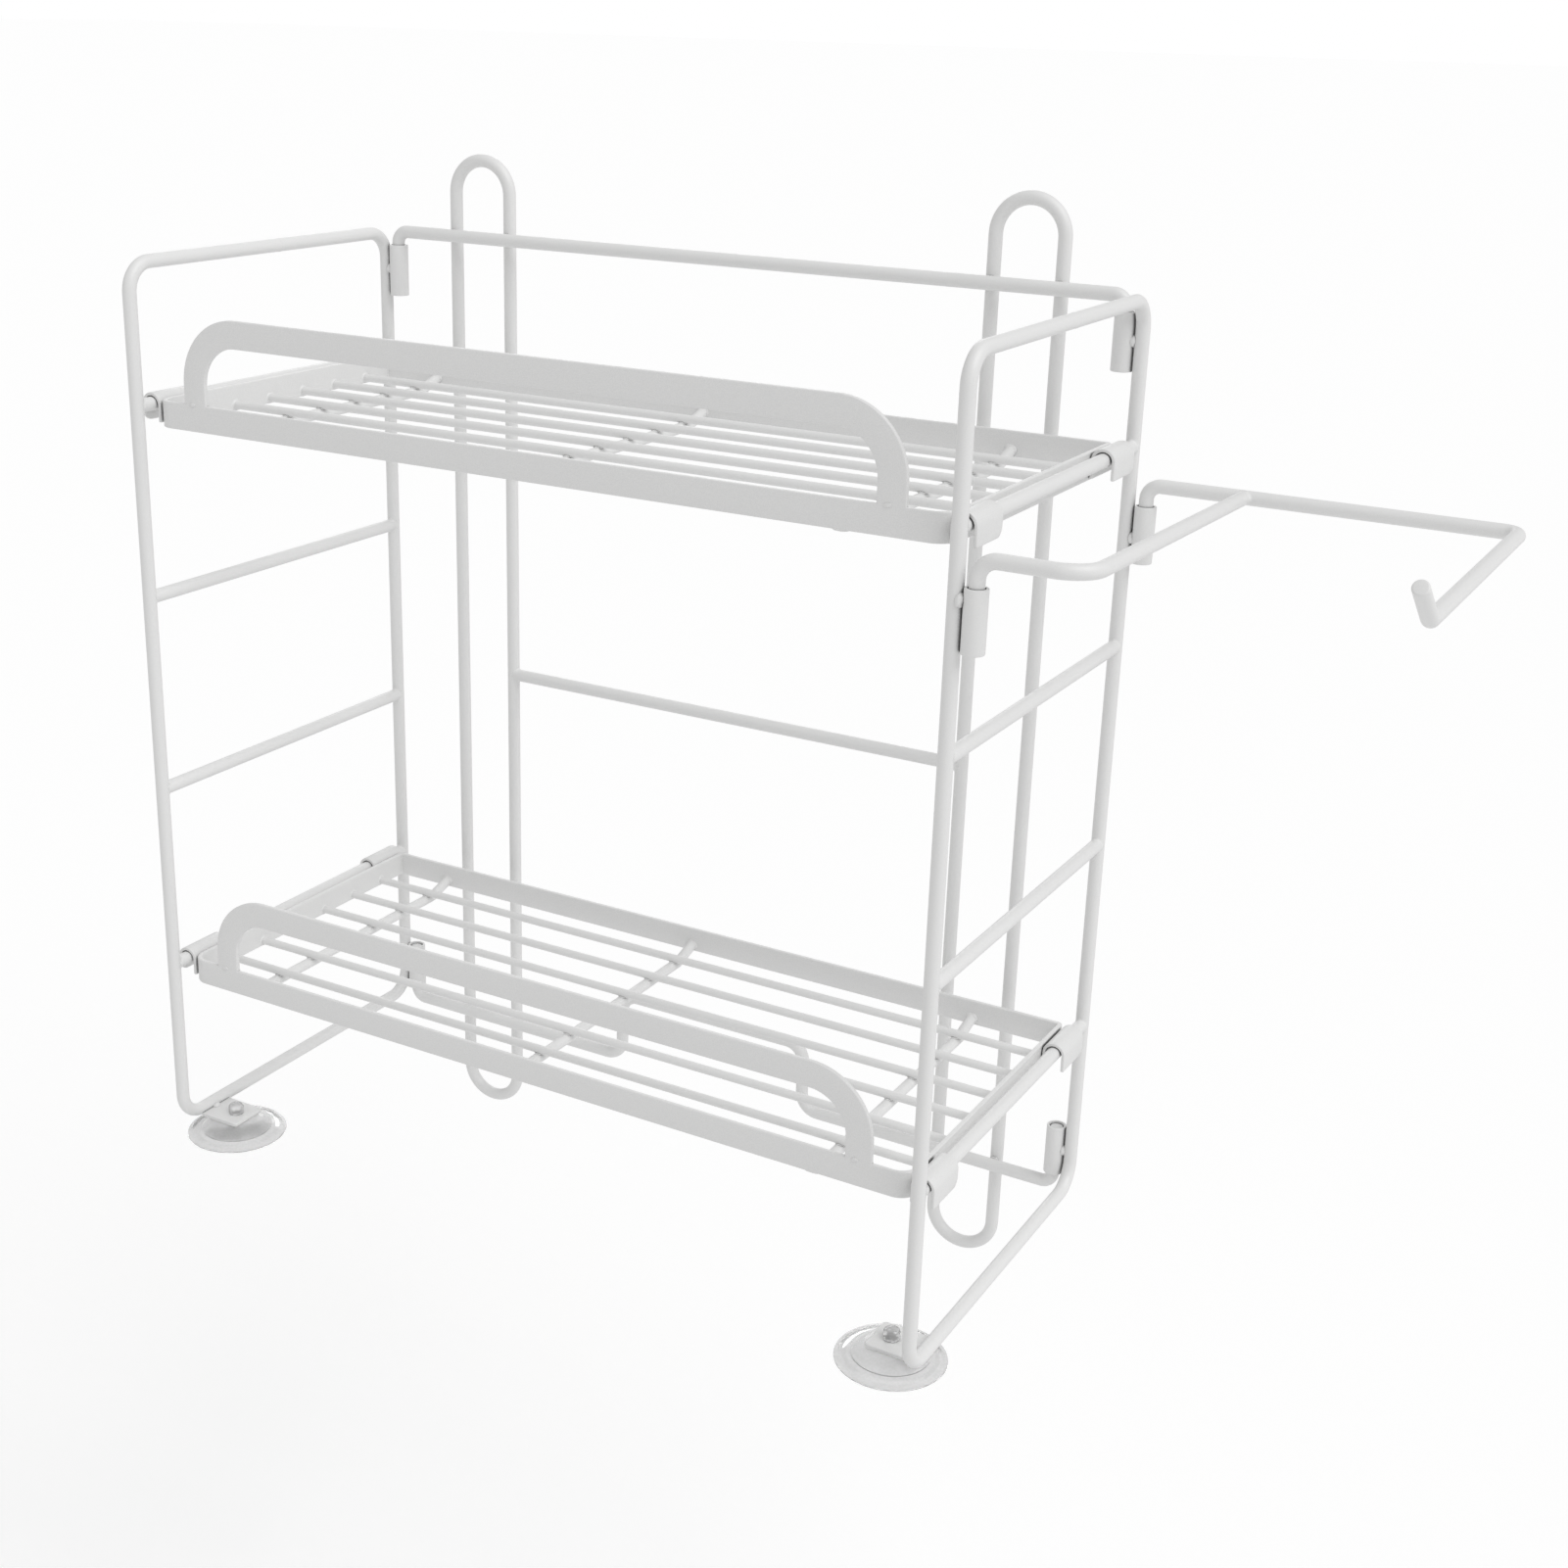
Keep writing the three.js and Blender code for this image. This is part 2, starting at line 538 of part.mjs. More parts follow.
// A shelf about the middle of its rim, at the height of the rungs that it hangs on.
function shelf(name, rungHeight) {
  const group = new THREE.Group();
  group.position.set(0, RIM_MIDDLE_Y, rungHeight);
  const front = -RIM_DEPTH / 2;
  addPiece(group, `${name}_rim`, shelfRim(), at(0, 0, STRIP_BOTTOM));
  addPiece(group, `${name}_front_guard`, frontGuard(), at(0, front, RIM_RISE + GAP));

  const deckX = RIM_HALF_WIDTH - STRIP_THICKNESS - GAP;
  const deckZ = STRIP_BOTTOM + DECK_LIFT + DECK_WIRE_R;
  const deckWire = openWire([at(-deckX, 0, 0), at(deckX, 0, 0)], [], DECK_WIRE_R, FINE_WIRE_SIDES);
  const deckDepth = RIM_DEPTH - DECK_FRONT_MARGIN - DECK_REAR_MARGIN;
  const pitch = deckDepth / (DECK_WIRE_COUNT - 1);
  for (let i = 0; i < DECK_WIRE_COUNT; i++) {
    const place = at(0, front + DECK_FRONT_MARGIN + i * pitch, deckZ);
    addPiece(group, `${name}_deck_wire_${i + 1}`, deckWire, place);
  }

  const crossZ = deckZ - DECK_WIRE_R - GAP - CROSS_WIRE_R;
  const endZ = STRIP_BOTTOM + CROSS_END_RISE;
  const slope = Math.atan2(endZ - crossZ, CROSS_END_RUN);
  const endY = RIM_DEPTH / 2 - STRIP_THICKNESS - GAP - CROSS_WIRE_R * Math.sin(slope);
  const turnY = endY - CROSS_END_RUN;
  const cross = [at(0, -endY, endZ), at(0, -turnY, crossZ), at(0, turnY, crossZ), at(0, endY, endZ)];
  const crossBends = [CROSS_BEND_R, CROSS_BEND_R];
  const crossWire = openWire(cross, crossBends, CROSS_WIRE_R, FINE_WIRE_SIDES);
  const leftX = CROSS_LEFT_INSET - RIM_HALF_WIDTH;
  const rightX = RIM_HALF_WIDTH - CROSS_RIGHT_INSET;
  addPiece(group, `${name}_left_cross_wire`, crossWire, at(leftX, 0, 0));
  addPiece(group, `${name}_middle_cross_wire`, crossWire, at((leftX + rightX) / 2, 0, 0));
  addPiece(group, `${name}_right_cross_wire`, crossWire, at(rightX, 0, 0));

  group.add(hookPair(`${name}_right_front_hook`, `${name}_right_rear_hook`, 0));
  group.add(hookPair(`${name}_left_rear_hook`, `${name}_left_front_hook`, Math.PI));
  return group;
}

const assembly = new THREE.Group();
assembly.position.set(0, -WALL_Y, -HANG_Z);
assembly.add(sideFrame("left", -1), sideFrame("right", 1), rearFrame(), rollHolder());
assembly.add(shelf("lower_shelf", LOWER_SHELF_RUNG), shelf("upper_shelf", UPPER_SHELF_RUNG));

const part = new THREE.Group();
part.add(assembly);

export default part;
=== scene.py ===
"""Dressed model of a white wire bathroom shelf that hangs on a wall.

Every wire, strip, folded hook, sleeve, plate and suction cup is rebuilt as a smooth piece in the
place of its plain solid, with the welds that hold it, and is dressed in powder coat or clear vinyl.
"""

import json
import logging
import math
from dataclasses import dataclass
from enum import Enum
from functools import cache
from typing import Callable, Optional, Sequence

import bmesh
import bpy
from mathutils import Matrix, Vector, noise

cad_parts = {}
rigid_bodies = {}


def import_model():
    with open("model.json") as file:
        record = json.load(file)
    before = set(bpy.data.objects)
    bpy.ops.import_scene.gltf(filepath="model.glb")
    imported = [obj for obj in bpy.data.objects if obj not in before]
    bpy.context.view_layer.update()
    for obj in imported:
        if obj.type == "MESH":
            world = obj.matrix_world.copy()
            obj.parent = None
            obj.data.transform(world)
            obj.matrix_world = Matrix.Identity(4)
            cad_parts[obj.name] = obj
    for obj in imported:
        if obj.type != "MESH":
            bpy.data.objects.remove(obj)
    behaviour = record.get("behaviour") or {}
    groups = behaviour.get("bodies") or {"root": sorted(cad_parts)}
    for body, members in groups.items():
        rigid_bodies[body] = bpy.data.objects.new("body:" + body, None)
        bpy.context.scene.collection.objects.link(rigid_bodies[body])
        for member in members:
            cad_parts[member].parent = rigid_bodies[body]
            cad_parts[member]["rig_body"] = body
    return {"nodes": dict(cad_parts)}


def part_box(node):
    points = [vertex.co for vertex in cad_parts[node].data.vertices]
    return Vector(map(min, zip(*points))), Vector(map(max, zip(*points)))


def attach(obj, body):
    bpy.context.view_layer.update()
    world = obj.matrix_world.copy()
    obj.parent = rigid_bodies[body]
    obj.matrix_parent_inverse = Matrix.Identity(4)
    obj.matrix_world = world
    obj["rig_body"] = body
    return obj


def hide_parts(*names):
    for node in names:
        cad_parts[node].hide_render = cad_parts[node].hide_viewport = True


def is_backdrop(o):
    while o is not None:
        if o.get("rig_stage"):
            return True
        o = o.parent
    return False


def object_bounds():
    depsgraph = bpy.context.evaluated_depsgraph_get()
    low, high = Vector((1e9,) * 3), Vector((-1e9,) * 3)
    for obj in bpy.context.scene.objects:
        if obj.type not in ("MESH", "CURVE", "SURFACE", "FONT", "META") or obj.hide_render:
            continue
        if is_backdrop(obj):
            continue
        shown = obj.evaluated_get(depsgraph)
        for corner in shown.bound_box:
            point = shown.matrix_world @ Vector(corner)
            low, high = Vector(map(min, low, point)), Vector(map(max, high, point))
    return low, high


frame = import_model()
CAD_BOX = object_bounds()
LOG = logging.getLogger("bathroom_shelf")

MM = 0.001
TINY = 1e-7
X_AXIS = Vector((1, 0, 0))
Y_AXIS = Vector((0, 1, 0))
Z_AXIS = Vector((0, 0, 1))

# Fineness of the meshes
BEND_STEP = math.radians(5)
WIRE_SIDES = 32
FINE_SIDES = 24
TURNED_SIDES = 56
CUP_SIDES = 112
EDGE_STEPS = 4
COLLAR_SIDES = 32
COLLAR_STEPS = 6
NUGGET_DETAIL = 3
SHARP_ANGLE = math.radians(38)
CURVE_STEPS = 12
SEAM_STEPS = 4
MERGE_GAP = 10 * TINY

# Rounding of a wire's cut ends, and the share of a strip's half width that its edges may take
CUT_EDGE = 0.4 * MM
EDGE_LIMIT = 0.98

# Weld round the end of a wire: shares of the wire, the weld and the bar, and the size of its lumps
COLLAR_CORE = 0.8
COLLAR_ROOT = 0.3
COLLAR_SIDE = 0.2
COLLAR_LUMP = 0.25
COLLAR_GRAIN = 2 * MM
SEAT_LIMIT = 0.99

# Spot of weld metal: how uneven it is, in which waves, and how it differs from place to place
NUGGET_ROUGH = 0.16
NUGGET_WAVES = 1.7
NUGGET_GRAIN = 3 * MM

# Skins of the coats
GRAIN_DETAIL = 3.0
PEEL_DETAIL = 1.0
GRAIN_LOW = 0.36
GRAIN_HIGH = 0.64
GRAIN_HEIGHT = 0.35
GAP_SAMPLES = 4
WHITE = (1, 1, 1, 1)

Point2 = tuple[float, float]
Color = tuple[float, float, float]
Size3 = tuple[float, float, float]
Feeds = dict[str | int, object]


class Side(Enum):
    """An end of the shelf, with the sign of its X."""

    LEFT = -1
    RIGHT = 1

    @property
    def word(self) -> str:
        """The side's word in node names."""
        return self.name.lower()


class Tier(Enum):
    """One of the two shelves, by the word in its node names."""

    LOWER = "lower_shelf"
    UPPER = "upper_shelf"


class Rung(Enum):
    """A rung of a side frame, by the word in its node names."""

    LOWER_SHELF = "lower_shelf_rung"
    LOWER_SPARE = "lower_spare_rung"
    UPPER_SPARE = "upper_spare_rung"
    UPPER_SHELF = "upper_shelf_rung"


class Hinge(Enum):
    """A hinge sleeve of a side frame, by the word in its node names."""

    TOP = "top_hinge_sleeve"
    BOTTOM = "bottom_hinge_sleeve"


class End(Enum):
    """The front or the rear, by the word in node names."""

    FRONT = "front"
    REAR = "rear"


class Cross(Enum):
    """A cross wire of a shelf, by the word in its node names."""

    LEFT = "left_cross_wire"
    MIDDLE = "middle_cross_wire"
    RIGHT = "right_cross_wire"


@dataclass(frozen=True)
class Box:
    """The lowest and highest corner of a solid at rest."""

    low: Vector
    high: Vector

    @classmethod
    def of(cls, node: str) -> "Box":
        """The box of a node of the frame."""
        return cls(*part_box(node))

    @property
    def middle(self) -> Vector:
        """The middle of the box."""
        return (self.low + self.high) / 2

    @property
    def size(self) -> Vector:
        """The box's three lengths."""
        return self.high - self.low

    @property
    def foot(self) -> Vector:
        """The middle of the box's lower face."""
        return Vector((self.middle.x, self.middle.y, self.low.z))

    def shrunk(self, margin: float) -> "Box":
        """The box with every face moved in by a margin."""
        step = Vector((margin, margin, margin))
        return Box(self.low + step, self.high - step)


@dataclass(frozen=True)
class Station:
    """A place along a route, with the axes of the section that stands there."""

    point: Vector
    along: Vector
    up: Vector
    distance: float
    inset: float = 0.0

    @property
    def across(self) -> Vector:
        """The section's first axis."""
        return self.up.cross(self.along)

    def shifted(self, travel: float, inset: float) -> "Station":
        """A station further along its own direction, with a smaller section."""
        point = self.point + self.along * travel
        return Station(point, self.along, self.up, self.distance + travel, inset)


def bend(before: Vector, corner: Vector, after: Vector, radius: float) -> list[tuple[Vector, Vector]]:
    """Points and directions round one bend of a route.

    Args:
        before: The corner ahead of this one.
        corner: The corner that is rounded.
        after: The corner that follows.
        radius: The bend's radius at the centre line.

    Returns:
        Pairs of a point and the direction there, or the bare corner on a straight run.
    """
    incoming = (corner - before).normalized()
    outgoing = (after - corner).normalized()
    turn = incoming.angle(outgoing)
    if turn < TINY or radius < TINY:
        return [(corner.copy(), incoming)]
    inward = (outgoing - incoming * math.cos(turn)).normalized()
    start = corner - incoming * (radius * math.tan(turn / 2))
    steps = max(2, math.ceil(turn / BEND_STEP))
    found = []
    for k in range(steps + 1):
        angle = turn * k / steps
        point = start + incoming * (radius * math.sin(angle))
        point += inward * (radius * (1 - math.cos(angle)))
        found.append((point, incoming * math.cos(angle) + inward * math.sin(angle)))
    return found


@dataclass(frozen=True)
class Route:
    """Centre line of a bent wire or strip: straight runs joined by round bends."""

    corners: Sequence[Vector]
    bends: Sequence[float] = ()
    closed: bool = False

    def line(self) -> list[tuple[Vector, Vector]]:
        """Follows the route.

        Returns:
            Points and directions from end to end.
        """
        found = []
        last = len(self.corners) - 1
        for i, corner in enumerate(self.corners):
            before = self.corners[i - 1]
            after = self.corners[(i + 1) % len(self.corners)]
            if self.closed:
                found += bend(before, corner, after, self.bends[i])
            elif 0 < i < last:
                found += bend(before, corner, after, self.bends[i - 1])
            else:
                along = after - corner if i == 0 else corner - before
                found.append((corner.copy(), along.normalized()))
        return found

    def stations(self, up: Vector, edge: float = 0.0) -> list[Station]:
        """Stations with axes that don't twist.

        Args:
            up: The section's second axis at the start.
            edge: Radius of the rounding at the two ends of an open route.

        Returns:
            The stations in order.
        """
        found: list[Station] = []
        for point, along in self.line():
            travelled = 0.0
            if found:
                step = (point - found[-1].point).length
                if step < TINY:
                    continue
                travelled = found[-1].distance + step
                up = found[-1].along.rotation_difference(along) @ up
            up = (up - along * up.dot(along)).normalized()
            found.append(Station(point, along, up, travelled))
        if self.closed:
            if (found[-1].point - found[0].point).length < TINY:
                found.pop()
            return found
        return self.rounded_ends(found, edge) if edge else found

    @staticmethod
    def rounded_ends(stations: list[Station], edge: float) -> list[Station]:
        """Rounds the two ends of a route.

        Args:
            stations: The route's stations.
            edge: Radius of the rounding.

        Returns:
            The stations with a quarter round at both ends.
        """
        first, last = stations[0], stations[-1]
        turns = [math.pi / 2 * k / EDGE_STEPS for k in range(EDGE_STEPS + 1)]
        rounds = [(edge * (1 - math.sin(a)), edge * (1 - math.cos(a))) for a in turns]
        head = [first.shifted(travel, inset) for travel, inset in reversed(rounds)]
        tail = [last.shifted(-travel, inset) for travel, inset in rounds]
        between = [s for s in stations if edge < s.distance < last.distance - edge]
        return head + between + tail


def arc(centre: Point2, radius: float, start: float, turn: float, steps: int) -> list[Point2]:
    """Points along an arc.

    Args:
        centre: The arc's centre.
        radius: Its radius.
        start: The angle at its start, in quarter turns.
        turn: How far it goes round, in quarter turns.
        steps: How many steps it takes.

    Returns:
        The points with both ends.
    """
    angles = [math.pi / 2 * (start + turn * k / steps) for k in range(steps + 1)]
    return [(centre[0] + radius * math.cos(a), centre[1] + radius * math.sin(a)) for a in angles]


@dataclass(frozen=True)
class RoundSection:
    """Round section of a wire."""

    radius: float
    sides: int = WIRE_SIDES

    def outline(self, station: Station) -> list[Point2]:
        """The section's points at a station."""
        return arc((0, 0), self.radius - station.inset, 0, 4, self.sides)[:-1]


@dataclass(frozen=True)
class StripSection:
    """Flat section with rounded edges: its width lies across the route and its depth along up."""

    width: float
    depth: float
    edge: float
    trim: Optional[Callable[[float], float]] = None

    def outline(self, station: Station) -> list[Point2]:
        """The section's points, cut back at its far edge where a trim says so.

        Args:
            station: Where the section stands.

        Returns:
            The points round it.
        """
        half = self.width / 2 - station.inset
        low = station.inset - self.depth / 2
        high = self.depth / 2 - station.inset
        if self.trim:
            high -= self.trim(station.distance)
        edge = min(self.edge, EDGE_LIMIT * half)
        side = half - edge
        corners = ((side, high - edge), (-side, high - edge), (-side, low + edge), (side, low + edge))
        points = []
        for quarter, corner in enumerate(corners):
            points += arc(corner, edge, quarter, 1, EDGE_STEPS)
        return points


def axes_at(origin: Vector, z_axis: Vector, x_hint: Vector) -> Matrix:
    """A frame of reference at a point.

    Args:
        origin: The frame's origin.
        z_axis: The direction of its Z axis.
        x_hint: A direction that its X axis leans towards.

    Returns:
        The frame as a matrix.
    """
    z = z_axis.normalized()
    y = z.cross(x_hint).normalized()
    x = y.cross(z)
    turned = Matrix((x, y, z)).transposed().to_4x4()
    return Matrix.Translation(origin) @ turned


class Piece:
    """One piece of the shelf: a mesh that grows in steps, then is dressed and rides on its body."""

    def __init__(self, node: str) -> None:
        """Starts the piece that stands for a node."""
        self.node = node
        self.mesh = bmesh.new()

    def bridge(self, rings: Sequence[Sequence[bmesh.types.BMVert]], closed: bool) -> None:
        """Joins rings of points into a skin.

        Args:
            rings: Rings with as many points each, turning to the right as seen along the skin.
            closed: Whether the last ring joins the first; otherwise both get a cap.
        """
        pairs = list(zip(rings, rings[1:]))
        if closed:
            pairs.append((rings[-1], rings[0]))
        for ring, following in pairs:
            count = len(ring)
            for i in range(count):
                j = (i + 1) % count
                self.mesh.faces.new((ring[i], ring[j], following[j], following[i]))
        if not closed:
            self.mesh.faces.new(list(reversed(rings[0])))
            self.mesh.faces.new(rings[-1])

    def sweep(
        self, stations: Sequence[Station], section: RoundSection | StripSection, closed: bool = False
    ) -> None:
        """Draws a section along a route.

        Args:
            stations: The route's stations.
            section: The section.
            closed: Whether the route ends where it starts.
        """
        rings = []
        for station in stations:
            outline = section.outline(station)
            spots = [station.point + station.across * u + station.up * v for u, v in outline]
            rings.append([self.mesh.verts.new(spot) for spot in spots])
        self.bridge(rings, closed)

    def wire(self, route: Route, section: RoundSection, up: Vector, edge: float = CUT_EDGE) -> None:
        """Adds a wire, with its cut ends rounded by the coat."""
        self.sweep(route.stations(up, edge), section, route.closed)

    def turned(self, profile: Sequence[Point2], place: Matrix, sides: int = TURNED_SIDES) -> None:
        """Turns a closed profile about the Z axis of a place.

        Args:
            profile: Radius and height of each point, up the outer side; radius 0 lies on the axis.
            place: The frame whose Z axis is the turning axis.
            sides: How many steps make the full turn.
        """
        rings = []
        for i in range(sides):
            turn = math.tau * i / sides
            spots = [Vector((r * math.cos(turn), r * math.sin(turn), z)) for r, z in profile]
            rings.append([self.mesh.verts.new(place @ spot) for spot in spots])
        self.bridge(rings[::-1], True)
        near = [vert for ring in rings for vert in ring]
        bmesh.ops.remove_doubles(self.mesh, verts=near, dist=TINY)

    def collar(self, place: Matrix, wire_radius: float, seat_radius: float, throat: float) -> None:
        """Adds the weld round a wire that ends on a round bar or on a flat face.

        Args:
            place: Frame on the bar's axis or on the face, with Z along the wire and X along the bar.
            wire_radius: Radius of the wire that ends here.
            seat_radius: Radius of the bar, or 0 for a flat face.
            throat: How far the weld creeps along both.
        """
        core = COLLAR_CORE * wire_radius
        limit = SEAT_LIMIT * seat_radius
        rings = []
        for i in range(COLLAR_SIDES):
            turn = math.tau * i / COLLAR_SIDES
            cosine, sine = math.cos(turn), math.sin(turn)
            lump = noise.noise(place.translation / COLLAR_GRAIN + Vector((cosine, sine, 0)))
            share = COLLAR_SIDE + (1 - COLLAR_SIDE) * cosine**2 if seat_radius else 1.0
            creep = throat * share * (1 + COLLAR_LUMP * lump)
            outline = arc((wire_radius + creep, creep), creep, 2, 1, COLLAR_STEPS)
            outline += [(core, -COLLAR_ROOT * throat), (core, creep)]
            ring = []
            for radius, rise in outline:
                offset = radius * sine
                if seat_radius:
                    offset = max(-limit, min(limit, offset))
                    rise += math.sqrt(seat_radius**2 - offset**2)
                ring.append(self.mesh.verts.new(place @ Vector((radius * cosine, offset, rise))))
            rings.append(ring)
        self.bridge(rings, True)

    def nugget(self, place: Matrix, radii: Size3, roughness: float = NUGGET_ROUGH) -> None:
        """Adds a spot of weld metal.

        Args:
            place: The spot's middle and axes.
            radii: Its half sizes along those axes.
            roughness: How uneven it is, as a share of its size.
        """
        made = bmesh.ops.create_icosphere(self.mesh, subdivisions=NUGGET_DETAIL, radius=1.0)
        stretch = place @ Matrix.Diagonal((*radii, 1))
        for vert in made["verts"]:
            lump = noise.noise(vert.co * NUGGET_WAVES + place.translation / NUGGET_GRAIN)
            vert.co = stretch @ (vert.co * (1 + roughness * lump))

    def plate(
        self, outlines: Sequence[Sequence[Point2]], thickness: float, edge: float, place: Matrix
    ) -> None:
        """Adds a flat plate with rounded edges.

        Args:
            outlines: The outer outline, then the outlines of the holes.
            thickness: The plate's thickness.
            edge: Radius of its edges.
            place: The frame whose XY plane is the plate's middle.
        """
        curve = bpy.data.curves.new(self.node, "CURVE")
        curve.dimensions = "2D"
        curve.fill_mode = "BOTH"
        curve.extrude = thickness / 2 - edge
        curve.bevel_depth = edge
        curve.bevel_resolution = EDGE_STEPS
        curve.offset = -edge
        for outline in outlines:
            spline = curve.splines.new("POLY")
            spline.points.add(len(outline) - 1)
            for point, (x, y) in zip(spline.points, outline):
                point.co = (x, y, 0, 1)
            spline.use_cyclic_u = True
        holder = bpy.data.objects.new(self.node, curve)
        bpy.context.scene.collection.objects.link(holder)
        graph = bpy.context.evaluated_depsgraph_get()
        made = bpy.data.meshes.new_from_object(holder.evaluated_get(graph))
        made.transform(place)
        before = set(self.mesh.verts)
        self.mesh.from_mesh(made)
        fresh = [vert for vert in self.mesh.verts if vert not in before]
        bmesh.ops.remove_doubles(self.mesh, verts=fresh, dist=MERGE_GAP)
        bpy.data.meshes.remove(made)
        bpy.data.objects.remove(holder)
        bpy.data.curves.remove(curve)

    def dress(self, finish: "PowderCoat | ClearVinyl") -> None:
        """Turns the mesh into an object with its finish, in the place of the node.

        Args:
            finish: The piece's finish.
        """
        name = f"{finish.prefix}_{self.node}"
        data = bpy.data.meshes.new(name)
        self.mesh.to_mesh(data)
        self.mesh.free()
        data.shade_smooth()
        data.set_sharp_from_angle(angle=SHARP_ANGLE)
        data.materials.append(finish.material())
        piece = bpy.data.objects.new(name, data)
        bpy.context.scene.collection.objects.link(piece)
        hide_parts(self.node)
        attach(piece, frame["nodes"][self.node]["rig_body"])
        LOG.info("%s: %d faces", name, len(data.polygons))


class ShaderTree:
    """Small helper for building a node tree."""

    def __init__(self, tree: bpy.types.NodeTree) -> None:
        """Wraps a node tree."""
        self.tree = tree

    def add(self, kind: str, feeds: Optional[Feeds] = None, **settings: object) -> bpy.types.Node:
        """Adds a node.

        Args:
            kind: The node's type.
            feeds: What its inputs get.
            settings: Its properties by name.

        Returns:
            The node.
        """
        node = self.tree.nodes.new(kind)
        for key, value in settings.items():
            setattr(node, key, value)
        self.feed(node, feeds or {})
        return node

    def feed(self, node: bpy.types.Node, feeds: Feeds) -> None:
        """Gives inputs of a node their links and values.

        Args:
            node: The node.
            feeds: For each input a socket to link, or a plain value.
        """
        for key, given in feeds.items():
            if isinstance(given, bpy.types.NodeSocket):
                self.tree.links.new(given, node.inputs[key])
            else:
                node.inputs[key].default_value = given

    def spread(self, feeds: Feeds) -> bpy.types.NodeSocket:
        """Maps a value from one range onto another."""
        return self.add("ShaderNodeMapRange", feeds).outputs["Result"]

    def blend(self, factor: bpy.types.NodeSocket, first: object, second: object) -> bpy.types.NodeSocket:
        """Mixes two colours, from the first at 0 to the second at 1."""
        feeds = {"Factor": factor, "A": first, "B": second}
        return self.add("ShaderNodeMix", feeds, data_type="RGBA").outputs["Result"]

    def seen(self) -> bpy.types.NodeSocket:
        """Tells what the camera sees from other light.

        Returns:
            1 for what is seen, straight or through something clear, and 0 for other light.
        """
        path = self.add("ShaderNodeLightPath").outputs
        rays = {0: path["Is Camera Ray"], 1: path["Is Transmission Ray"]}
        return self.add("ShaderNodeMath", rays, operation="MAXIMUM").outputs["Value"]


@cache
def coat_texture() -> bpy.types.NodeTree:
    """A coat's uneven skin, with painted shade that darkens tight gaps towards near black, as a shared node
    group.

    Returns:
        The group, with the inputs of CoatLook and with Color, Roughness and Height as outputs.
    """
    group = bpy.data.node_groups.new("coat_texture", "ShaderNodeTree")
    for label, value in CoatLook().inputs().items():
        kind = "NodeSocketColor" if isinstance(value, tuple) else "NodeSocketFloat"
        group.interface.new_socket(label, in_out="INPUT", socket_type=kind)
    group.interface.new_socket("Color", in_out="OUTPUT", socket_type="NodeSocketColor")
    for label in ("Roughness", "Height"):
        group.interface.new_socket(label, in_out="OUTPUT", socket_type="NodeSocketFloat")

    shader = ShaderTree(group)
    given = shader.add("NodeGroupInput").outputs
    place = shader.add("ShaderNodeTexCoord").outputs["Object"]
    waves = {"Vector": place, "Scale": given["grain_scale"], "Detail": GRAIN_DETAIL}
    grain = shader.add("ShaderNodeTexNoise", waves).outputs["Fac"]
    waves = {"Vector": place, "Scale": given["peel_scale"], "Detail": PEEL_DETAIL}
    peel = shader.add("ShaderNodeTexNoise", waves).outputs["Fac"]
    contrast = shader.spread({"Value": grain, "From Min": GRAIN_LOW, "From Max": GRAIN_HIGH})
    coat = shader.blend(contrast, given["deep"], given["pale"])
    # Painted shade: ambient occlusion darkens tight gaps and crevices towards the near-black gap colour.
    sky = shader.add("ShaderNodeAmbientOcclusion", {"Distance": given["gap_reach"]}, samples=GAP_SAMPLES)
    gaps = {"Value": sky.outputs["AO"], "From Min": given["gap_tight"], "From Max": given["gap_wide"]}
    height = shader.add("ShaderNodeMath", {0: grain, 1: GRAIN_HEIGHT, 2: peel}, operation="MULTIPLY_ADD")
    results = {
        "Color": shader.blend(shader.spread(gaps), given["bare"], coat),
        "Roughness": shader.spread({"Value": peel, "To Min": given["smooth"], "To Max": given["rough"]}),
        "Height": height.outputs["Value"],
    }
    shader.add("NodeGroupOutput", results)
    return group


def new_material(name: str) -> tuple[bpy.types.Material, ShaderTree, bpy.types.Node]:
    """A fresh material.

    Args:
        name: The material's name.

    Returns:
        The material, its nodes and its Principled shader.
    """
    material = bpy.data.materials.new(name)
    material.use_nodes = True
    shader = ShaderTree(material.node_tree)
    return material, shader, material.node_tree.nodes["Principled BSDF"]


@dataclass(frozen=True)
class CoatLook:
    """What a coat's skin looks like: scales in waves per metre, the painted gap shade's range in shares of
    open sky.
    """

    pale: Color = (0.83, 0.83, 0.825)
    deep: Color = (0.775, 0.775, 0.772)
    # Near-black painted shade laid into tight gaps.
    bare: Color = (0.07, 0.07, 0.07)
    grain_scale: float = 5200.0
    peel_scale: float = 900.0
    smooth: float = 0.34
    rough: float = 0.46
    # Reach and range of the ambient occlusion that lays the painted gap shade.
    gap_reach: float = 2.5 * MM
    gap_tight: float = 0.18
    gap_wide: float = 0.46
    relief: float = 0.035 * MM

    def inputs(self) -> Feeds:
        """What the shared texture gets: every field except the relief."""
        values = {key: value for key, value in vars(self).items() if key != "relief"}
        return {key: (*value, 1) if isinstance(value, tuple) else value for key, value in values.items()}

    def material(self, name: str, values: Feeds) -> bpy.types.Material:
        """Makes a material with the shared texture.

        Args:
            name: The material's name.
            values: Further values of its shader.

        Returns:
            The material.
        """
        material, shader, surface = new_material(name)
        skin = shader.add("ShaderNodeGroup", self.inputs(), node_tree=coat_texture()).outputs
        waves = {"Strength": 1.0, "Distance": self.relief, "Height": skin["Height"]}
        normal = shader.add("ShaderNodeBump", waves).outputs["Normal"]
        # The base colour carries the grain and the painted gap shade.
        feeds = {"Base Color": skin["Color"], "Roughness": skin["Roughness"], "Normal": normal}
        shader.feed(surface, feeds | values)
        return material


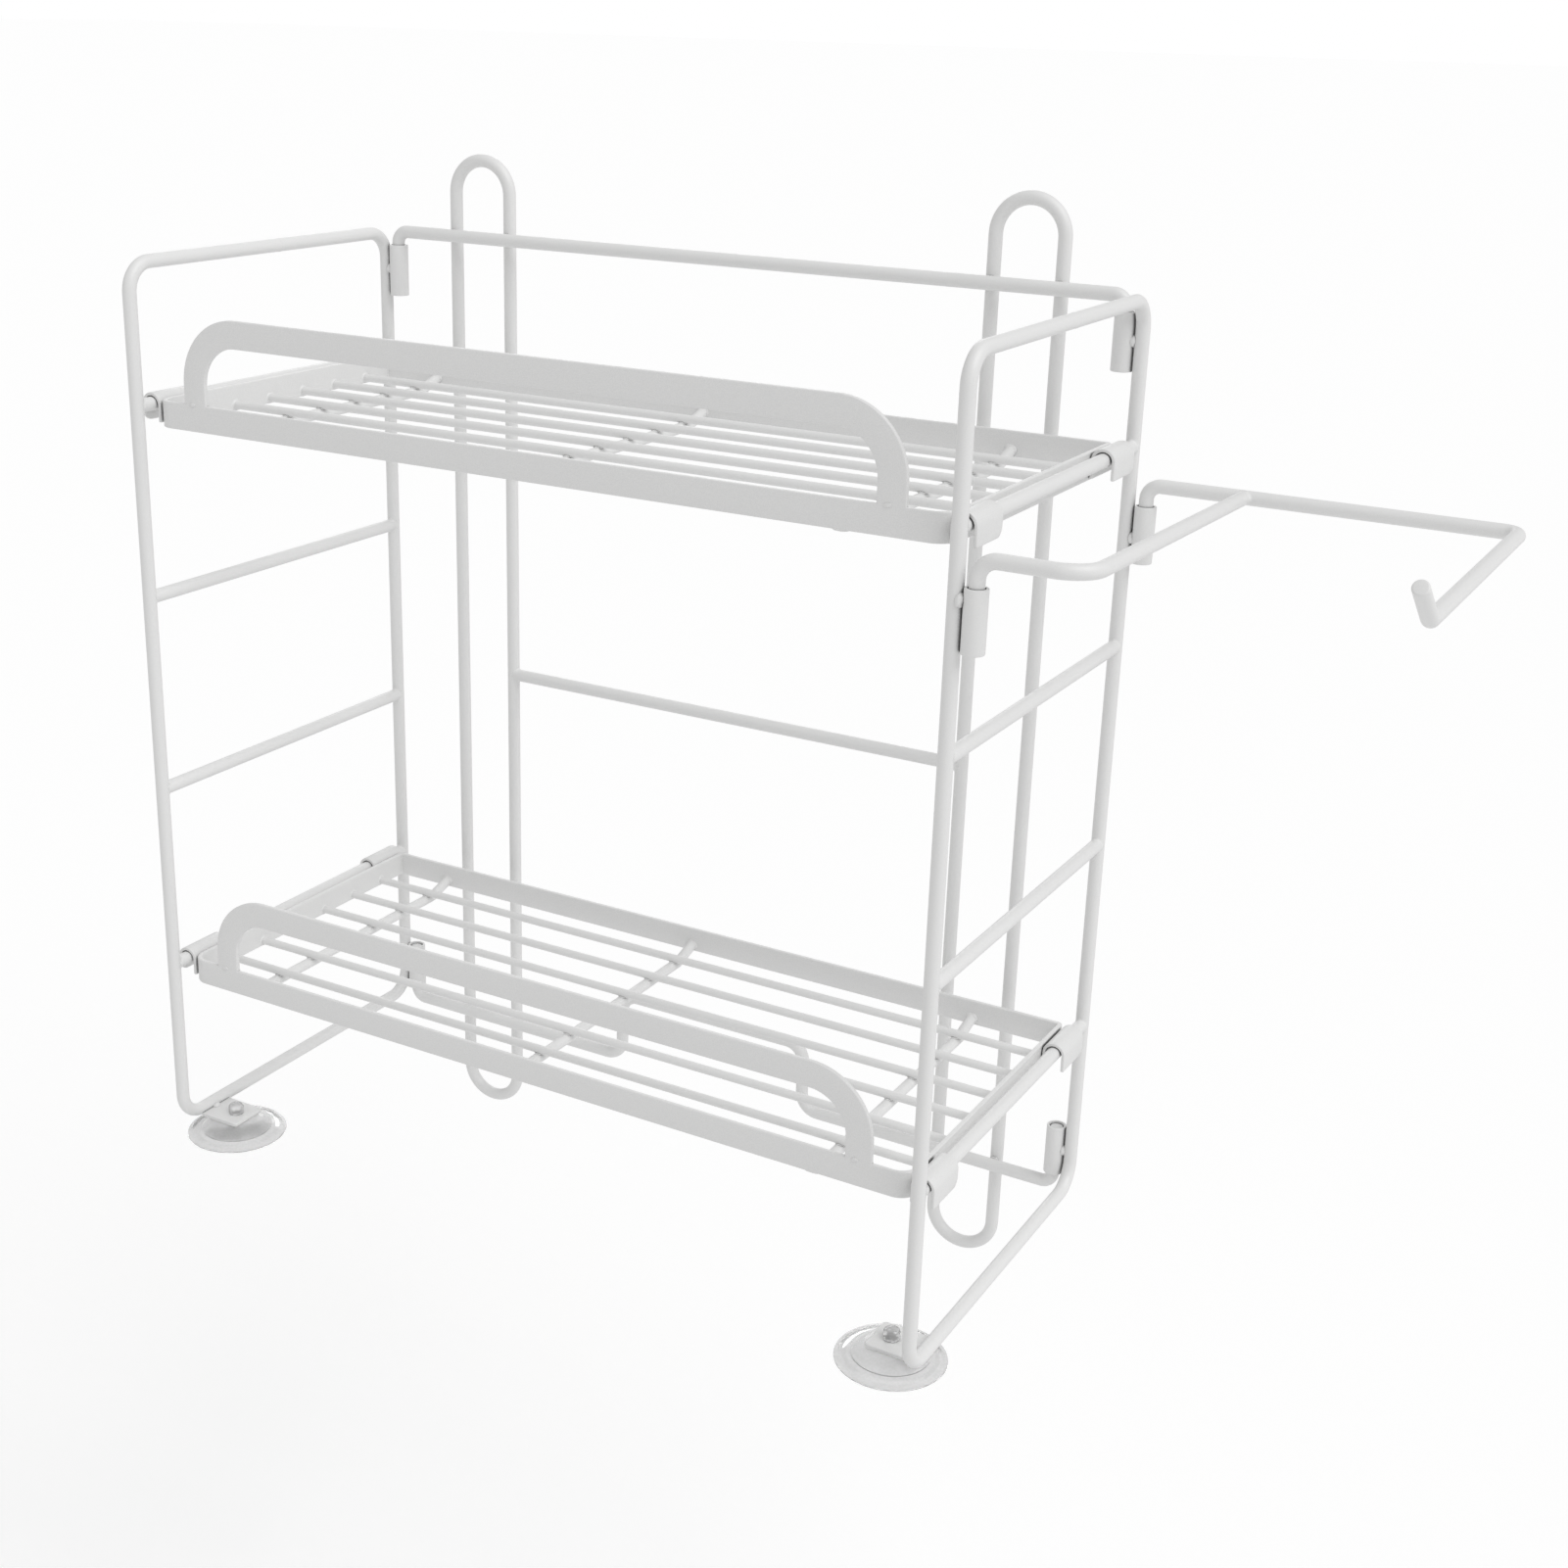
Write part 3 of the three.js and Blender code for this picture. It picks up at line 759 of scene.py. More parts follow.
@dataclass(frozen=True)
class PowderCoat:
    """White satin powder coat on steel, with painted shade darkening tight gaps."""

    name: str
    look: CoatLook
    gloss_coat: float = 0.12
    gloss_rough: float = 0.3
    prefix: str = "coated"
    slot: str = "powder_coat"

    @cache
    def material(self) -> bpy.types.Material:
        """The coat's material, made once."""
        gloss = {"Coat Weight": self.gloss_coat, "Coat Roughness": self.gloss_rough}
        return self.look.material(self.name, gloss)


@dataclass(frozen=True)
class ClearVinyl:
    """Clear soft vinyl, a little hazy from the mould."""

    name: str
    look: CoatLook
    clearness: float = 0.7
    refraction: float = 1.43
    prefix: str = "clear"
    slot: str = "clear_vinyl"

    @cache
    def material(self) -> bpy.types.Material:
        """The vinyl's material, made once."""
        glass = {"Transmission Weight": self.clearness, "IOR": self.refraction}
        return self.look.material(self.name, glass)


WIRE_COAT = PowderCoat("powder_coat_on_wire", CoatLook())
SHEET_COAT = PowderCoat(
    "powder_coat_on_sheet",
    CoatLook(
        pale=(0.82, 0.82, 0.815),
        deep=(0.755, 0.755, 0.752),
        grain_scale=3600.0,
        peel_scale=620.0,
        smooth=0.36,
        rough=0.5,
        relief=0.05 * MM,
    ),
)
CUP_VINYL = ClearVinyl(
    "vinyl_of_the_cups",
    CoatLook(
        pale=(0.86, 0.86, 0.86),
        deep=(0.8, 0.8, 0.8),
        grain_scale=900.0,
        peel_scale=160.0,
        smooth=0.06,
        rough=0.16,
        # A tiny reach leaves next to no painted gap shade on the vinyl.
        gap_reach=TINY,
        relief=0.06 * MM,
    ),
)


def build_rod(
    node: str, seats: Sequence[Vector], sink: float, section: RoundSection, seat_radius: float, throat: float
) -> None:
    """Makes a straight wire with a weld round each end.

    Args:
        node: The wire's node.
        seats: Where its axis meets the axes of two bars, or two flat faces.
        sink: How far short of these it stops; below 0 it goes on past them.
        section: Its section.
        seat_radius: Radius of the bars, or 0 for flat faces.
        throat: How far the welds creep.
    """
    piece = Piece(node)
    along = (seats[1] - seats[0]).normalized()
    piece.wire(Route([seats[0] + along * sink, seats[1] - along * sink]), section, Z_AXIS)
    for seat, way in zip(seats, (along, -along)):
        piece.collar(axes_at(seat, way, Z_AXIS), section.radius, seat_radius, throat)
    piece.dress(WIRE_COAT)


@dataclass(frozen=True)
class Sleeve:
    """A short tube that a pin turns in, spot-welded to a leg."""

    node: str
    leg: Vector
    bore: float = 3.15 * MM
    edge: float = 0.32 * MM
    bore_edge: float = 0.192 * MM
    weld_height: float = 0.52
    weld_size: Size3 = (1.7 * MM, 2.9 * MM, 2.5 * MM)
    weld_shift: float = 0.0

    def build(self) -> None:
        """Makes the tube and its weld, which may creep round the leg."""
        box = Box.of(self.node)
        radius, length = box.size.x / 2, box.size.z
        outer, inner = radius - self.edge, self.bore + self.bore_edge
        profile = arc((outer, self.edge), self.edge, -1, 1, EDGE_STEPS)
        profile += arc((outer, length - self.edge), self.edge, 0, 1, EDGE_STEPS)
        profile += arc((inner, length - self.bore_edge), self.bore_edge, 1, 1, EDGE_STEPS)
        profile += arc((inner, self.bore_edge), self.bore_edge, 2, 1, EDGE_STEPS)
        piece = Piece(self.node)
        piece.turned(profile, Matrix.Translation(box.foot))

        towards = Vector((self.leg.x - box.foot.x, self.leg.y - box.foot.y, 0))
        contact = box.foot + towards.normalized() * radius
        contact.z = box.low.z + self.weld_height * length
        place = axes_at(contact, Z_AXIS, towards)
        creep = Matrix.Translation((self.weld_shift / 2, self.weld_shift, 0))
        piece.nugget(place @ creep, self.weld_size)
        piece.dress(WIRE_COAT)


@dataclass(frozen=True)
class SuctionFoot:
    """A foot plate under a side frame, with its suction cup."""

    side: Side
    plate_corner: float = 1.6 * MM
    plate_edge: float = 0.35 * MM
    hole_inset: float = 7.4 * MM
    hole_radius: float = 2.8 * MM
    weld_gap: float = 0.5 * MM
    weld_rise: float = 0.9 * MM
    weld_size: Size3 = (1.7 * MM, 1.9 * MM, 1.2 * MM)
    rim_land: float = 1 * MM
    rim_edge: float = 0.6 * MM
    dome_radius: float = 15.6 * MM
    dome_foot: float = 2.6 * MM
    dome_step: float = 0.5 * MM
    dome_lean: float = 0.7
    shoulder_radius: float = 6 * MM
    cavity: float = 3 * MM
    neck_radius: float = 2.4 * MM
    head_radius: float = 3.4 * MM
    clearance: float = 0.3 * MM

    def build(self) -> None:
        """Makes the plate and the cup."""
        self.build_plate()
        self.build_cup()

    def build_plate(self) -> None:
        """Makes the plate, rounded on its free side and spot-welded to the bottom bar."""
        node = f"{self.side.word}_foot_plate"
        box = Box.of(node)
        width, depth = box.size.x, box.size.y
        reach = self.plate_corner - width
        half = depth / 2 - self.plate_corner
        outline = [(self.weld_gap, -depth / 2), (self.weld_gap, depth / 2)]
        for centre_y, start in ((half, 1), (-half, 2)):
            outline += arc((reach, centre_y), self.plate_corner, start, 1, 2 * EDGE_STEPS)
        hole = arc((self.hole_inset - width, 0), self.hole_radius, 0, 4, FINE_SIDES)[:-1]
        outer_x = box.high.x if self.side is Side.RIGHT else box.low.x
        edge_middle = Vector((outer_x, box.middle.y, box.middle.z))
        place = axes_at(edge_middle, Z_AXIS, X_AXIS * self.side.value)
        piece = Piece(node)
        piece.plate((outline, hole), box.size.z, self.plate_edge, place)
        weld = edge_middle + Z_AXIS * self.weld_rise
        piece.nugget(axes_at(weld, Z_AXIS, X_AXIS), self.weld_size)
        piece.dress(SHEET_COAT)

    def build_cup(self) -> None:
        """Makes the cup with its neck and mushroom head."""
        node = f"{self.side.word}_suction_cup"
        box = Box.of(node)
        plate = Box.of(f"{self.side.word}_foot_plate")
        rim_radius = box.size.x / 2
        shoulder = plate.low.z - box.low.z - self.clearance
        head_foot = plate.high.z - box.low.z + self.clearance
        head_top = box.size.z
        profile = [(0.0, self.cavity)]
        mouth = (rim_radius - self.rim_land, 0)
        profile += self.curve((0, self.cavity), (self.dome_radius, self.cavity), mouth)
        lip = self.rim_edge / 2
        profile += arc((rim_radius - lip, lip), lip, -1, 2, 2 * EDGE_STEPS)
        brim = (0.5 * (rim_radius + self.dome_radius), self.rim_edge)
        step = (self.dome_radius, self.dome_foot - self.dome_step)
        profile += self.curve((rim_radius - lip, self.rim_edge), brim, step)
        profile.append((self.dome_radius, self.dome_foot))
        crown = (self.dome_lean * self.dome_radius, shoulder)
        profile += self.curve((self.dome_radius, self.dome_foot), crown, (self.shoulder_radius, shoulder))
        profile += [(self.neck_radius, shoulder), (self.neck_radius, head_foot)]
        rise = 0.5 * (head_foot + head_top)
        profile += [(self.head_radius, head_foot), (self.head_radius, rise)]
        profile += self.curve((self.head_radius, rise), (self.head_radius, head_top), (0, head_top))
        piece = Piece(node)
        piece.turned(profile, Matrix.Translation(box.foot), CUP_SIDES)
        piece.dress(CUP_VINYL)

    @staticmethod
    def curve(start: Point2, pull: Point2, end: Point2) -> list[Point2]:
        """Points of a soft curve.

        Args:
            start: Where the curve starts.
            pull: The point that it bends towards.
            end: Where it ends.

        Returns:
            The points, without the start.
        """
        points = []
        for k in range(1, CURVE_STEPS + 1):
            t = k / CURVE_STEPS
            x, y = ((1 - t) ** 2 * a + 2 * t * (1 - t) * b + t**2 * c for a, b, c in zip(start, pull, end))
            points.append((x, y))
        return points


@dataclass(frozen=True)
class SideFrame:
    """A wire rectangle with rungs, hinge sleeves and a suction foot."""

    side: Side
    wire_radius: float = 2.8 * MM
    bend_radius: float = 11.5 * MM
    weld_throat: float = 1.0 * MM
    rung_sink: float = 1.2 * MM
    seam_width: float = 0.9 * MM
    seam_height: float = 0.12 * MM
    seam_sink: float = 0.01 * MM
    seam_core: float = 0.9
    seam_place: float = 0.55

    def build(self) -> None:
        """Makes every piece of the side frame."""
        self.build_loop()
        for rung in Rung:
            self.build_rung(rung)
        leg = Vector((self.plane, self.legs[1], 0))
        for hinge in Hinge:
            Sleeve(f"{self.side.word}_{hinge.value}", leg).build()
        SuctionFoot(self.side).build()

    @property
    def box(self) -> Box:
        """The box of the bent loop."""
        return Box.of(f"{self.side.word}_side_frame")

    @property
    def plane(self) -> float:
        """X of the loop's plane."""
        return self.box.middle.x

    @property
    def legs(self) -> tuple[float, float]:
        """Y of the front and rear legs' axes."""
        return self.box.low.y + self.wire_radius, self.box.high.y - self.wire_radius

    def build_loop(self) -> None:
        """Makes the bent loop, with the seam where its ends were butt-welded."""
        front, rear = self.legs
        bottom = self.box.low.z + self.wire_radius
        top = self.box.high.z - self.wire_radius
        corners = [(front, bottom), (rear, bottom), (rear, top), (front, top)]
        spots = [Vector((self.plane, y, z)) for y, z in corners]
        piece = Piece(f"{self.side.word}_side_frame")
        section = RoundSection(self.wire_radius)
        piece.wire(Route(spots, [self.bend_radius] * 4, True), section, X_AXIS)
        seam = Vector((self.plane, front + self.seam_place * (rear - front), top))
        piece.turned(self.seam_profile(), axes_at(seam, Y_AXIS, X_AXIS), WIRE_SIDES)
        piece.dress(WIRE_COAT)

    def seam_profile(self) -> list[Point2]:
        """Low round ridge of a butt weld.

        Returns:
            Radius and height of each point about the wire's axis.
        """
        core = self.seam_core * self.wire_radius
        ridge = []
        for k in range(-SEAM_STEPS, SEAM_STEPS + 1):
            share = k / SEAM_STEPS
            rise = self.wire_radius + self.seam_height * (1 - share**2) - self.seam_sink
            ridge.append((rise, share * self.seam_width))
        return ridge + [(core, self.seam_width), (core, -self.seam_width)]

    def build_rung(self, rung: Rung) -> None:
        """Makes a rung, welded to both legs.

        Args:
            rung: Which rung it is.
        """
        node = f"{self.side.word}_{rung.value}"
        height = Box.of(node).middle.z
        seats = [Vector((self.plane, leg, height)) for leg in self.legs]
        section = RoundSection(self.wire_radius)
        build_rod(node, seats, self.rung_sink, section, self.wire_radius, self.weld_throat)


@dataclass(frozen=True)
class RearFrame:
    """Top and bottom bars with pins, a middle bar and two hanging loops."""

    wire_radius: float = 2.8 * MM
    pin_bend: float = 5.3 * MM
    hat_bend: float = 8.5 * MM
    hat_width: float = 98 * MM
    pin_recess: float = 0.8 * MM
    weld_throat: float = 1.0 * MM
    bar_sink: float = 1.2 * MM
    loop_weld: Size3 = (2.5 * MM, 2.5 * MM, 0.95 * MM)

    def build(self) -> None:
        """Makes every piece of the rear frame."""
        self.build_top_bar()
        self.build_bottom_bar()
        for side in Side:
            self.build_loop(side)
        self.build_middle_bar()

    def build_top_bar(self) -> None:
        """Makes the top bar, bent down into a pin at each end."""
        node = "rear_top_bar"
        core = Box.of(node).shrunk(self.wire_radius)
        left, right, height = core.low.x, core.high.x, core.high.z
        pin_end = Box.of("left_top_hinge_sleeve").low.z + self.pin_recess
        corners = [(left, pin_end), (left, height), (right, height), (right, pin_end)]
        self.bent_bar(node, corners, [self.pin_bend] * 2).dress(WIRE_COAT)

    def build_bottom_bar(self) -> None:
        """Makes the bottom bar, raised in its middle and bent up into a pin at each end."""
        node = "rear_bottom_bar"
        core = Box.of(node).shrunk(self.wire_radius)
        left, right, height, hat = core.low.x, core.high.x, core.low.z, core.high.z
        pin_end = Box.of("left_bottom_hinge_sleeve").high.z - self.pin_recess
        half = self.hat_width / 2
        corners = [(left, pin_end), (left, height), (-half, height), (-half, hat)]
        corners += [(half, hat), (half, height), (right, height), (right, pin_end)]
        bends = [self.pin_bend] + [self.hat_bend] * 4 + [self.pin_bend]
        self.bent_bar(node, corners, bends).dress(WIRE_COAT)

    def bent_bar(
        self, node: str, corners: Sequence[Point2], bends: Sequence[float], closed: bool = False
    ) -> Piece:
        """Starts a wire that is bent in an upright plane.

        Args:
            node: The wire's node.
            corners: X and Z of its corners.
            bends: Radius of each bend.
            closed: Whether it is a loop.

        Returns:
            The piece, not dressed yet.
        """
        depth = Box.of(node).middle.y
        route = Route([Vector((x, depth, z)) for x, z in corners], bends, closed)
        piece = Piece(node)
        piece.wire(route, RoundSection(self.wire_radius), Y_AXIS)
        return piece

    def build_loop(self, side: Side) -> None:
        """Makes a hanging loop, spot-welded to both bars.

        Args:
            side: The end of the shelf that it is nearer to.
        """
        node = f"{side.word}_wall_loop"
        box = Box.of(node)
        core = box.shrunk(self.wire_radius)
        left, right, bottom, top = core.low.x, core.high.x, core.low.z, core.high.z
        corners = [(left, bottom), (right, bottom), (right, top), (left, top)]
        piece = self.bent_bar(node, corners, [(right - left) / 2] * 4, True)
        top_bar, bottom_bar = Box.of("rear_top_bar"), Box.of("rear_bottom_bar")
        contact = (top_bar.high.y + box.low.y) / 2
        for x in (left, right):
            for z in (top_bar.high.z - self.wire_radius, bottom_bar.low.z + self.wire_radius):
                piece.nugget(axes_at(Vector((x, contact, z)), Y_AXIS, Z_AXIS), self.loop_weld)
        piece.dress(WIRE_COAT)

    def build_middle_bar(self) -> None:
        """Makes the straight bar between the loops."""
        node = "rear_middle_bar"
        middle = Box.of(node).middle
        left = Box.of("left_wall_loop").high.x - self.wire_radius
        right = Box.of("right_wall_loop").low.x + self.wire_radius
        seats = [Vector((x, middle.y, middle.z)) for x in (left, right)]
        section = RoundSection(self.wire_radius)
        build_rod(node, seats, self.bar_sink, section, self.wire_radius, self.weld_throat)


@dataclass(frozen=True)
class RollHolder:
    """Arm with spindle and tip, and a brace, pinned in two sleeves on the right side frame."""

    wire_radius: float = 2.8 * MM
    arm_standoff: float = 8.3 * MM
    arm_bend: float = 5.5 * MM
    spindle_length: float = 137 * MM
    tip_length: float = 25 * MM
    tip_angle: float = math.radians(36)
    tip_bend: float = 6 * MM
    tip_edge: float = 0.7 * MM
    brace_standoff: float = 9.7 * MM
    brace_bend: float = 7 * MM
    brace_corner: float = 12 * MM
    pin_recess: float = 0.8 * MM
    weld_throat: float = 1.1 * MM
    brace_sink: float = 1.2 * MM
    front_weld_height: float = 0.8
    front_weld_shift: float = 1.3 * MM
    rear_weld_height: float = 0.42

    def build(self) -> None:
        """Makes every piece of the roll holder."""
        side_frame = SideFrame(Side.RIGHT)
        front, rear = (Vector((side_frame.plane, leg, 0)) for leg in side_frame.legs)
        front_weld = {"weld_height": self.front_weld_height, "weld_shift": self.front_weld_shift}
        Sleeve("roll_holder_front_sleeve", front, **front_weld).build()
        Sleeve("roll_holder_rear_sleeve", rear, weld_height=self.rear_weld_height).build()
        self.build_arm()
        self.build_brace()

    @property
    def arm_height(self) -> float:
        """Z of the arm's axis."""
        return Box.of("roll_holder_rear_sleeve").high.z + self.arm_standoff

    def build_arm(self) -> None:
        """Makes the pin, the outward run, the spindle and its turned-up tip."""
        sleeve = Box.of("roll_holder_rear_sleeve")
        pin, height = sleeve.middle, self.arm_height
        spindle = Box.of("roll_arm").high.x - self.wire_radius
        tip = pin.y - self.spindle_length
        reach = self.tip_length * math.cos(self.tip_angle)
        rise = self.tip_length * math.sin(self.tip_angle)
        corners = [
            Vector((pin.x, pin.y, sleeve.low.z + self.pin_recess)),
            Vector((pin.x, pin.y, height)),
            Vector((spindle, pin.y, height)),
            Vector((spindle, tip, height)),
            Vector((spindle, tip - reach, height + rise)),
        ]
        piece = Piece("roll_arm")
        route = Route(corners, [self.arm_bend, self.arm_bend, self.tip_bend])
        piece.wire(route, RoundSection(self.wire_radius), Y_AXIS, self.tip_edge)
        piece.dress(WIRE_COAT)

    def build_brace(self) -> None:
        """Makes the brace, from its pin round the corner to its weld on the arm."""
        sleeve = Box.of("roll_holder_front_sleeve")
        arm_y = Box.of("roll_holder_rear_sleeve").middle.y
        height = sleeve.high.z + self.brace_standoff
        run = Box.of("roll_brace").high.x - self.wire_radius
        corner = Vector((run, sleeve.middle.y, height))
        seat = Vector((run, arm_y, self.arm_height))
        back = (corner - seat).normalized()
        corners = [
            Vector((sleeve.middle.x, sleeve.middle.y, sleeve.low.z + self.pin_recess)),
            Vector((sleeve.middle.x, sleeve.middle.y, height)),
            corner,
            seat + back * self.brace_sink,
        ]
        piece = Piece("roll_brace")
        route = Route(corners, [self.brace_bend, self.brace_corner])
        piece.wire(route, RoundSection(self.wire_radius), Y_AXIS)
        piece.collar(axes_at(seat, back, X_AXIS), self.wire_radius, self.wire_radius, self.weld_throat)
        piece.dress(WIRE_COAT)


@dataclass(frozen=True)
class Shelf:
    """A lift-off shelf: strip rim, guard arch, wire deck and folded hooks."""

    tier: Tier
    strip_thickness: float = 2 * MM
    strip_edge: float = 0.5 * MM
    front_corner: float = 8 * MM
    rear_corner: float = 2.5 * MM
    guard_band: float = 11 * MM
    guard_corner: float = 27 * MM
    guard_weld: Size3 = (1.5 * MM, 0.5 * MM, 0.9 * MM)
    guard_front_weld: float = -0.12
    guard_rear_weld: float = 0.36
    deck_radius: float = 1.75 * MM
    deck_count: int = 6
    cross_radius: float = 2.25 * MM
    cross_end_run: float = 12.5 * MM
    cross_end_rise: float = 3 * MM
    cross_bend: float = 4 * MM
    wire_sink: float = 0.25 * MM
    weld_throat: float = 0.7 * MM
    cross_sink: float = 0.8 * MM
    deck_weld_sink: float = 0.1 * MM
    deck_weld: Size3 = (1.9 * MM, 1.9 * MM, 0.75 * MM)
    cross_weld: Size3 = (2.9 * MM, 2.4 * MM, 1.0 * MM)
    drip: Size3 = (3.4 * MM, 0.8 * MM, 0.75 * MM)
    drip_rough: float = 0.3

    def build(self) -> None:
        """Makes every piece of the shelf."""
        self.build_rim()
        self.build_guard()
        for node in self.deck_nodes:
            self.build_deck_wire(node)
        for cross in Cross:
            self.build_cross_wire(cross)
        for side in Side:
            for end in End:
                Hook(self.tier, side, end).build()

    def node(self, word: str) -> str:
        """The name of one of the shelf's nodes."""
        return f"{self.tier.value}_{word}"

    @property
    def deck_nodes(self) -> list[str]:
        """The names of the deck wires' nodes."""
        return [self.node(f"deck_wire_{number}") for number in range(1, self.deck_count + 1)]

    @property
    def rim(self) -> Box:
        """The box of the strip rim."""
        return Box.of(self.node("rim"))

    def build_rim(self) -> None:
        """Makes the strip, bent round four corners."""
        box = self.rim
        inset = self.strip_thickness / 2
        left, right = box.low.x + inset, box.high.x - inset
        front, rear = box.low.y + inset, box.high.y - inset
        corners = [(left, front), (right, front), (right, rear), (left, rear)]
        spots = [Vector((x, y, box.middle.z)) for x, y in corners]
        section = StripSection(self.strip_thickness, box.size.z, self.strip_edge)
        bends = [self.front_corner - inset] * 2 + [self.rear_corner - inset] * 2
        piece = Piece(self.node("rim"))
        piece.sweep(Route(spots, bends, True).stations(Z_AXIS), section, True)
        piece.dress(SHEET_COAT)

    def build_guard(self) -> None:
        """Makes the guard arch, standing on the front strip."""
        node = self.node("front_guard")
        box = Box.of(node)
        inset = self.guard_band / 2
        left, right = box.low.x + inset, box.high.x - inset
        top, foot = box.high.z - inset, self.rim.high.z - self.strip_edge
        corners = [(left, foot), (left, top), (right, top), (right, foot)]
        spots = [Vector((x, box.middle.y, z)) for x, z in corners]
        section = StripSection(self.guard_band, box.size.y, self.strip_edge)
        piece = Piece(node)
        route = Route(spots, [self.guard_corner - inset] * 2)
        piece.sweep(route.stations(Y_AXIS), section)
        rear_weld = self.guard_rear_weld
        welds = [(box.low.y, self.guard_front_weld), (box.high.y, -rear_weld), (box.high.y, rear_weld)]
        for x in (left, right):
            for y, shift in welds:
                spot = Vector((x + shift * self.guard_band, y, self.rim.high.z))
                piece.nugget(axes_at(spot, Z_AXIS, X_AXIS), self.guard_weld)
        piece.dress(SHEET_COAT)

    def build_deck_wire(self, node: str) -> None:
        """Makes a deck wire, welded between the end strips.

        Args:
            node: The wire's node.
        """
        middle = Box.of(node).middle
        faces = (self.rim.low.x + self.strip_thickness, self.rim.high.x - self.strip_thickness)
        seats = [Vector((x, middle.y, middle.z)) for x in faces]
        section = RoundSection(self.deck_radius, FINE_SIDES)
        build_rod(node, seats, -self.strip_thickness / 2, section, 0, self.weld_throat)

    def build_cross_wire(self, cross: Cross) -> None:
        """Makes a cross wire under the deck, bent up at both ends to the strips.

        Args:
            cross: Which one it is; weld metal of the right one shows under the front strip.
        """
        node = self.node(cross.value)
        x = Box.of(node).middle.x
        deck = [Box.of(wire).middle for wire in self.deck_nodes]
        contact = deck[0].z - self.deck_radius
        low = contact - self.cross_radius + self.wire_sink
        high = self.rim.low.z + self.cross_end_rise
        front, rear = self.rim.low.y + self.strip_thickness, self.rim.high.y - self.strip_thickness
        run, sink = self.cross_end_run, self.cross_sink
        corners = [(front - sink, high), (front + run, low), (rear - run, low), (rear + sink, high)]
        route = Route([Vector((x, y, z)) for y, z in corners], [self.cross_bend] * 2)
        piece = Piece(node)
        piece.wire(route, RoundSection(self.cross_radius, FINE_SIDES), X_AXIS)
        for wire in deck:
            spot = Vector((x, wire.y, contact + self.deck_weld_sink))
            piece.nugget(axes_at(spot, Z_AXIS, X_AXIS), self.deck_weld)
        for y in (front, rear):
            piece.nugget(axes_at(Vector((x, y, high)), Y_AXIS, X_AXIS), self.cross_weld)
        if cross is Cross.RIGHT:
            spot = Vector((x, front - sink, self.rim.low.z))
            piece.nugget(axes_at(spot, Z_AXIS, X_AXIS), self.drip, self.drip_rough)
        piece.dress(WIRE_COAT)


@dataclass(frozen=True)
class Hook:
    """A sheet folded over a rung, with its leg on the shelf's end strip."""

    tier: Tier
    side: Side
    end: End
    sheet: float = 1.4 * MM
    sheet_edge: float = 0.4 * MM
    fold_radius: float = 4.2 * MM
    fold_drop: float = 0.4 * MM
    leg_drop: float = 7.3 * MM
    lip_drop: float = 7.3 * MM
    lip_corner: float = 4 * MM
    corner_steps: int = 8

    def build(self) -> None:
        """Makes the folded sheet with its rounded lip."""
        node = f"{self.tier.value}_{self.side.word}_{self.end.value}_hook"
        box = Box.of(node)
        rung = Box.of(f"{self.side.word}_{self.tier.value}_rung").middle
        place = axes_at(Vector((rung.x, box.middle.y, rung.z)), Z_AXIS, X_AXIS * self.side.value)
        crown = self.fold_radius - self.fold_drop
        corners = [(-self.fold_radius, -self.leg_drop), (-self.fold_radius, crown), (self.fold_radius, crown)]
        bends = [self.fold_radius, self.fold_radius]
        for k in range(self.corner_steps, -1, -1):
            rise = self.lip_corner * (1 - math.cos(math.pi / 2 * k / self.corner_steps))
            corners.append((self.fold_radius, rise - self.lip_drop))
        bends += [0.0] * self.corner_steps
        spots = [place @ Vector((x, 0, z)) for x, z in corners]
        stations = Route(spots, bends).stations(Y_AXIS * self.side.value, self.sheet_edge)
        length = stations[-1].distance
        section = StripSection(
            self.sheet, box.size.y, self.sheet_edge, lambda distance: self.cut_back(length - distance)
        )
        piece = Piece(node)
        piece.sweep(stations, section)
        piece.dress(SHEET_COAT)

    def cut_back(self, left: float) -> float:
        """How far the lip's far corner is rounded off.

        Args:
            left: Length of the lip beyond this place.

        Returns:
            The cut at the lip's far edge.
        """
        near = self.lip_corner - max(left, 0.0)
        if near <= 0:
            return 0.0
        return self.lip_corner - math.sqrt(max(self.lip_corner**2 - near**2, 0.0))


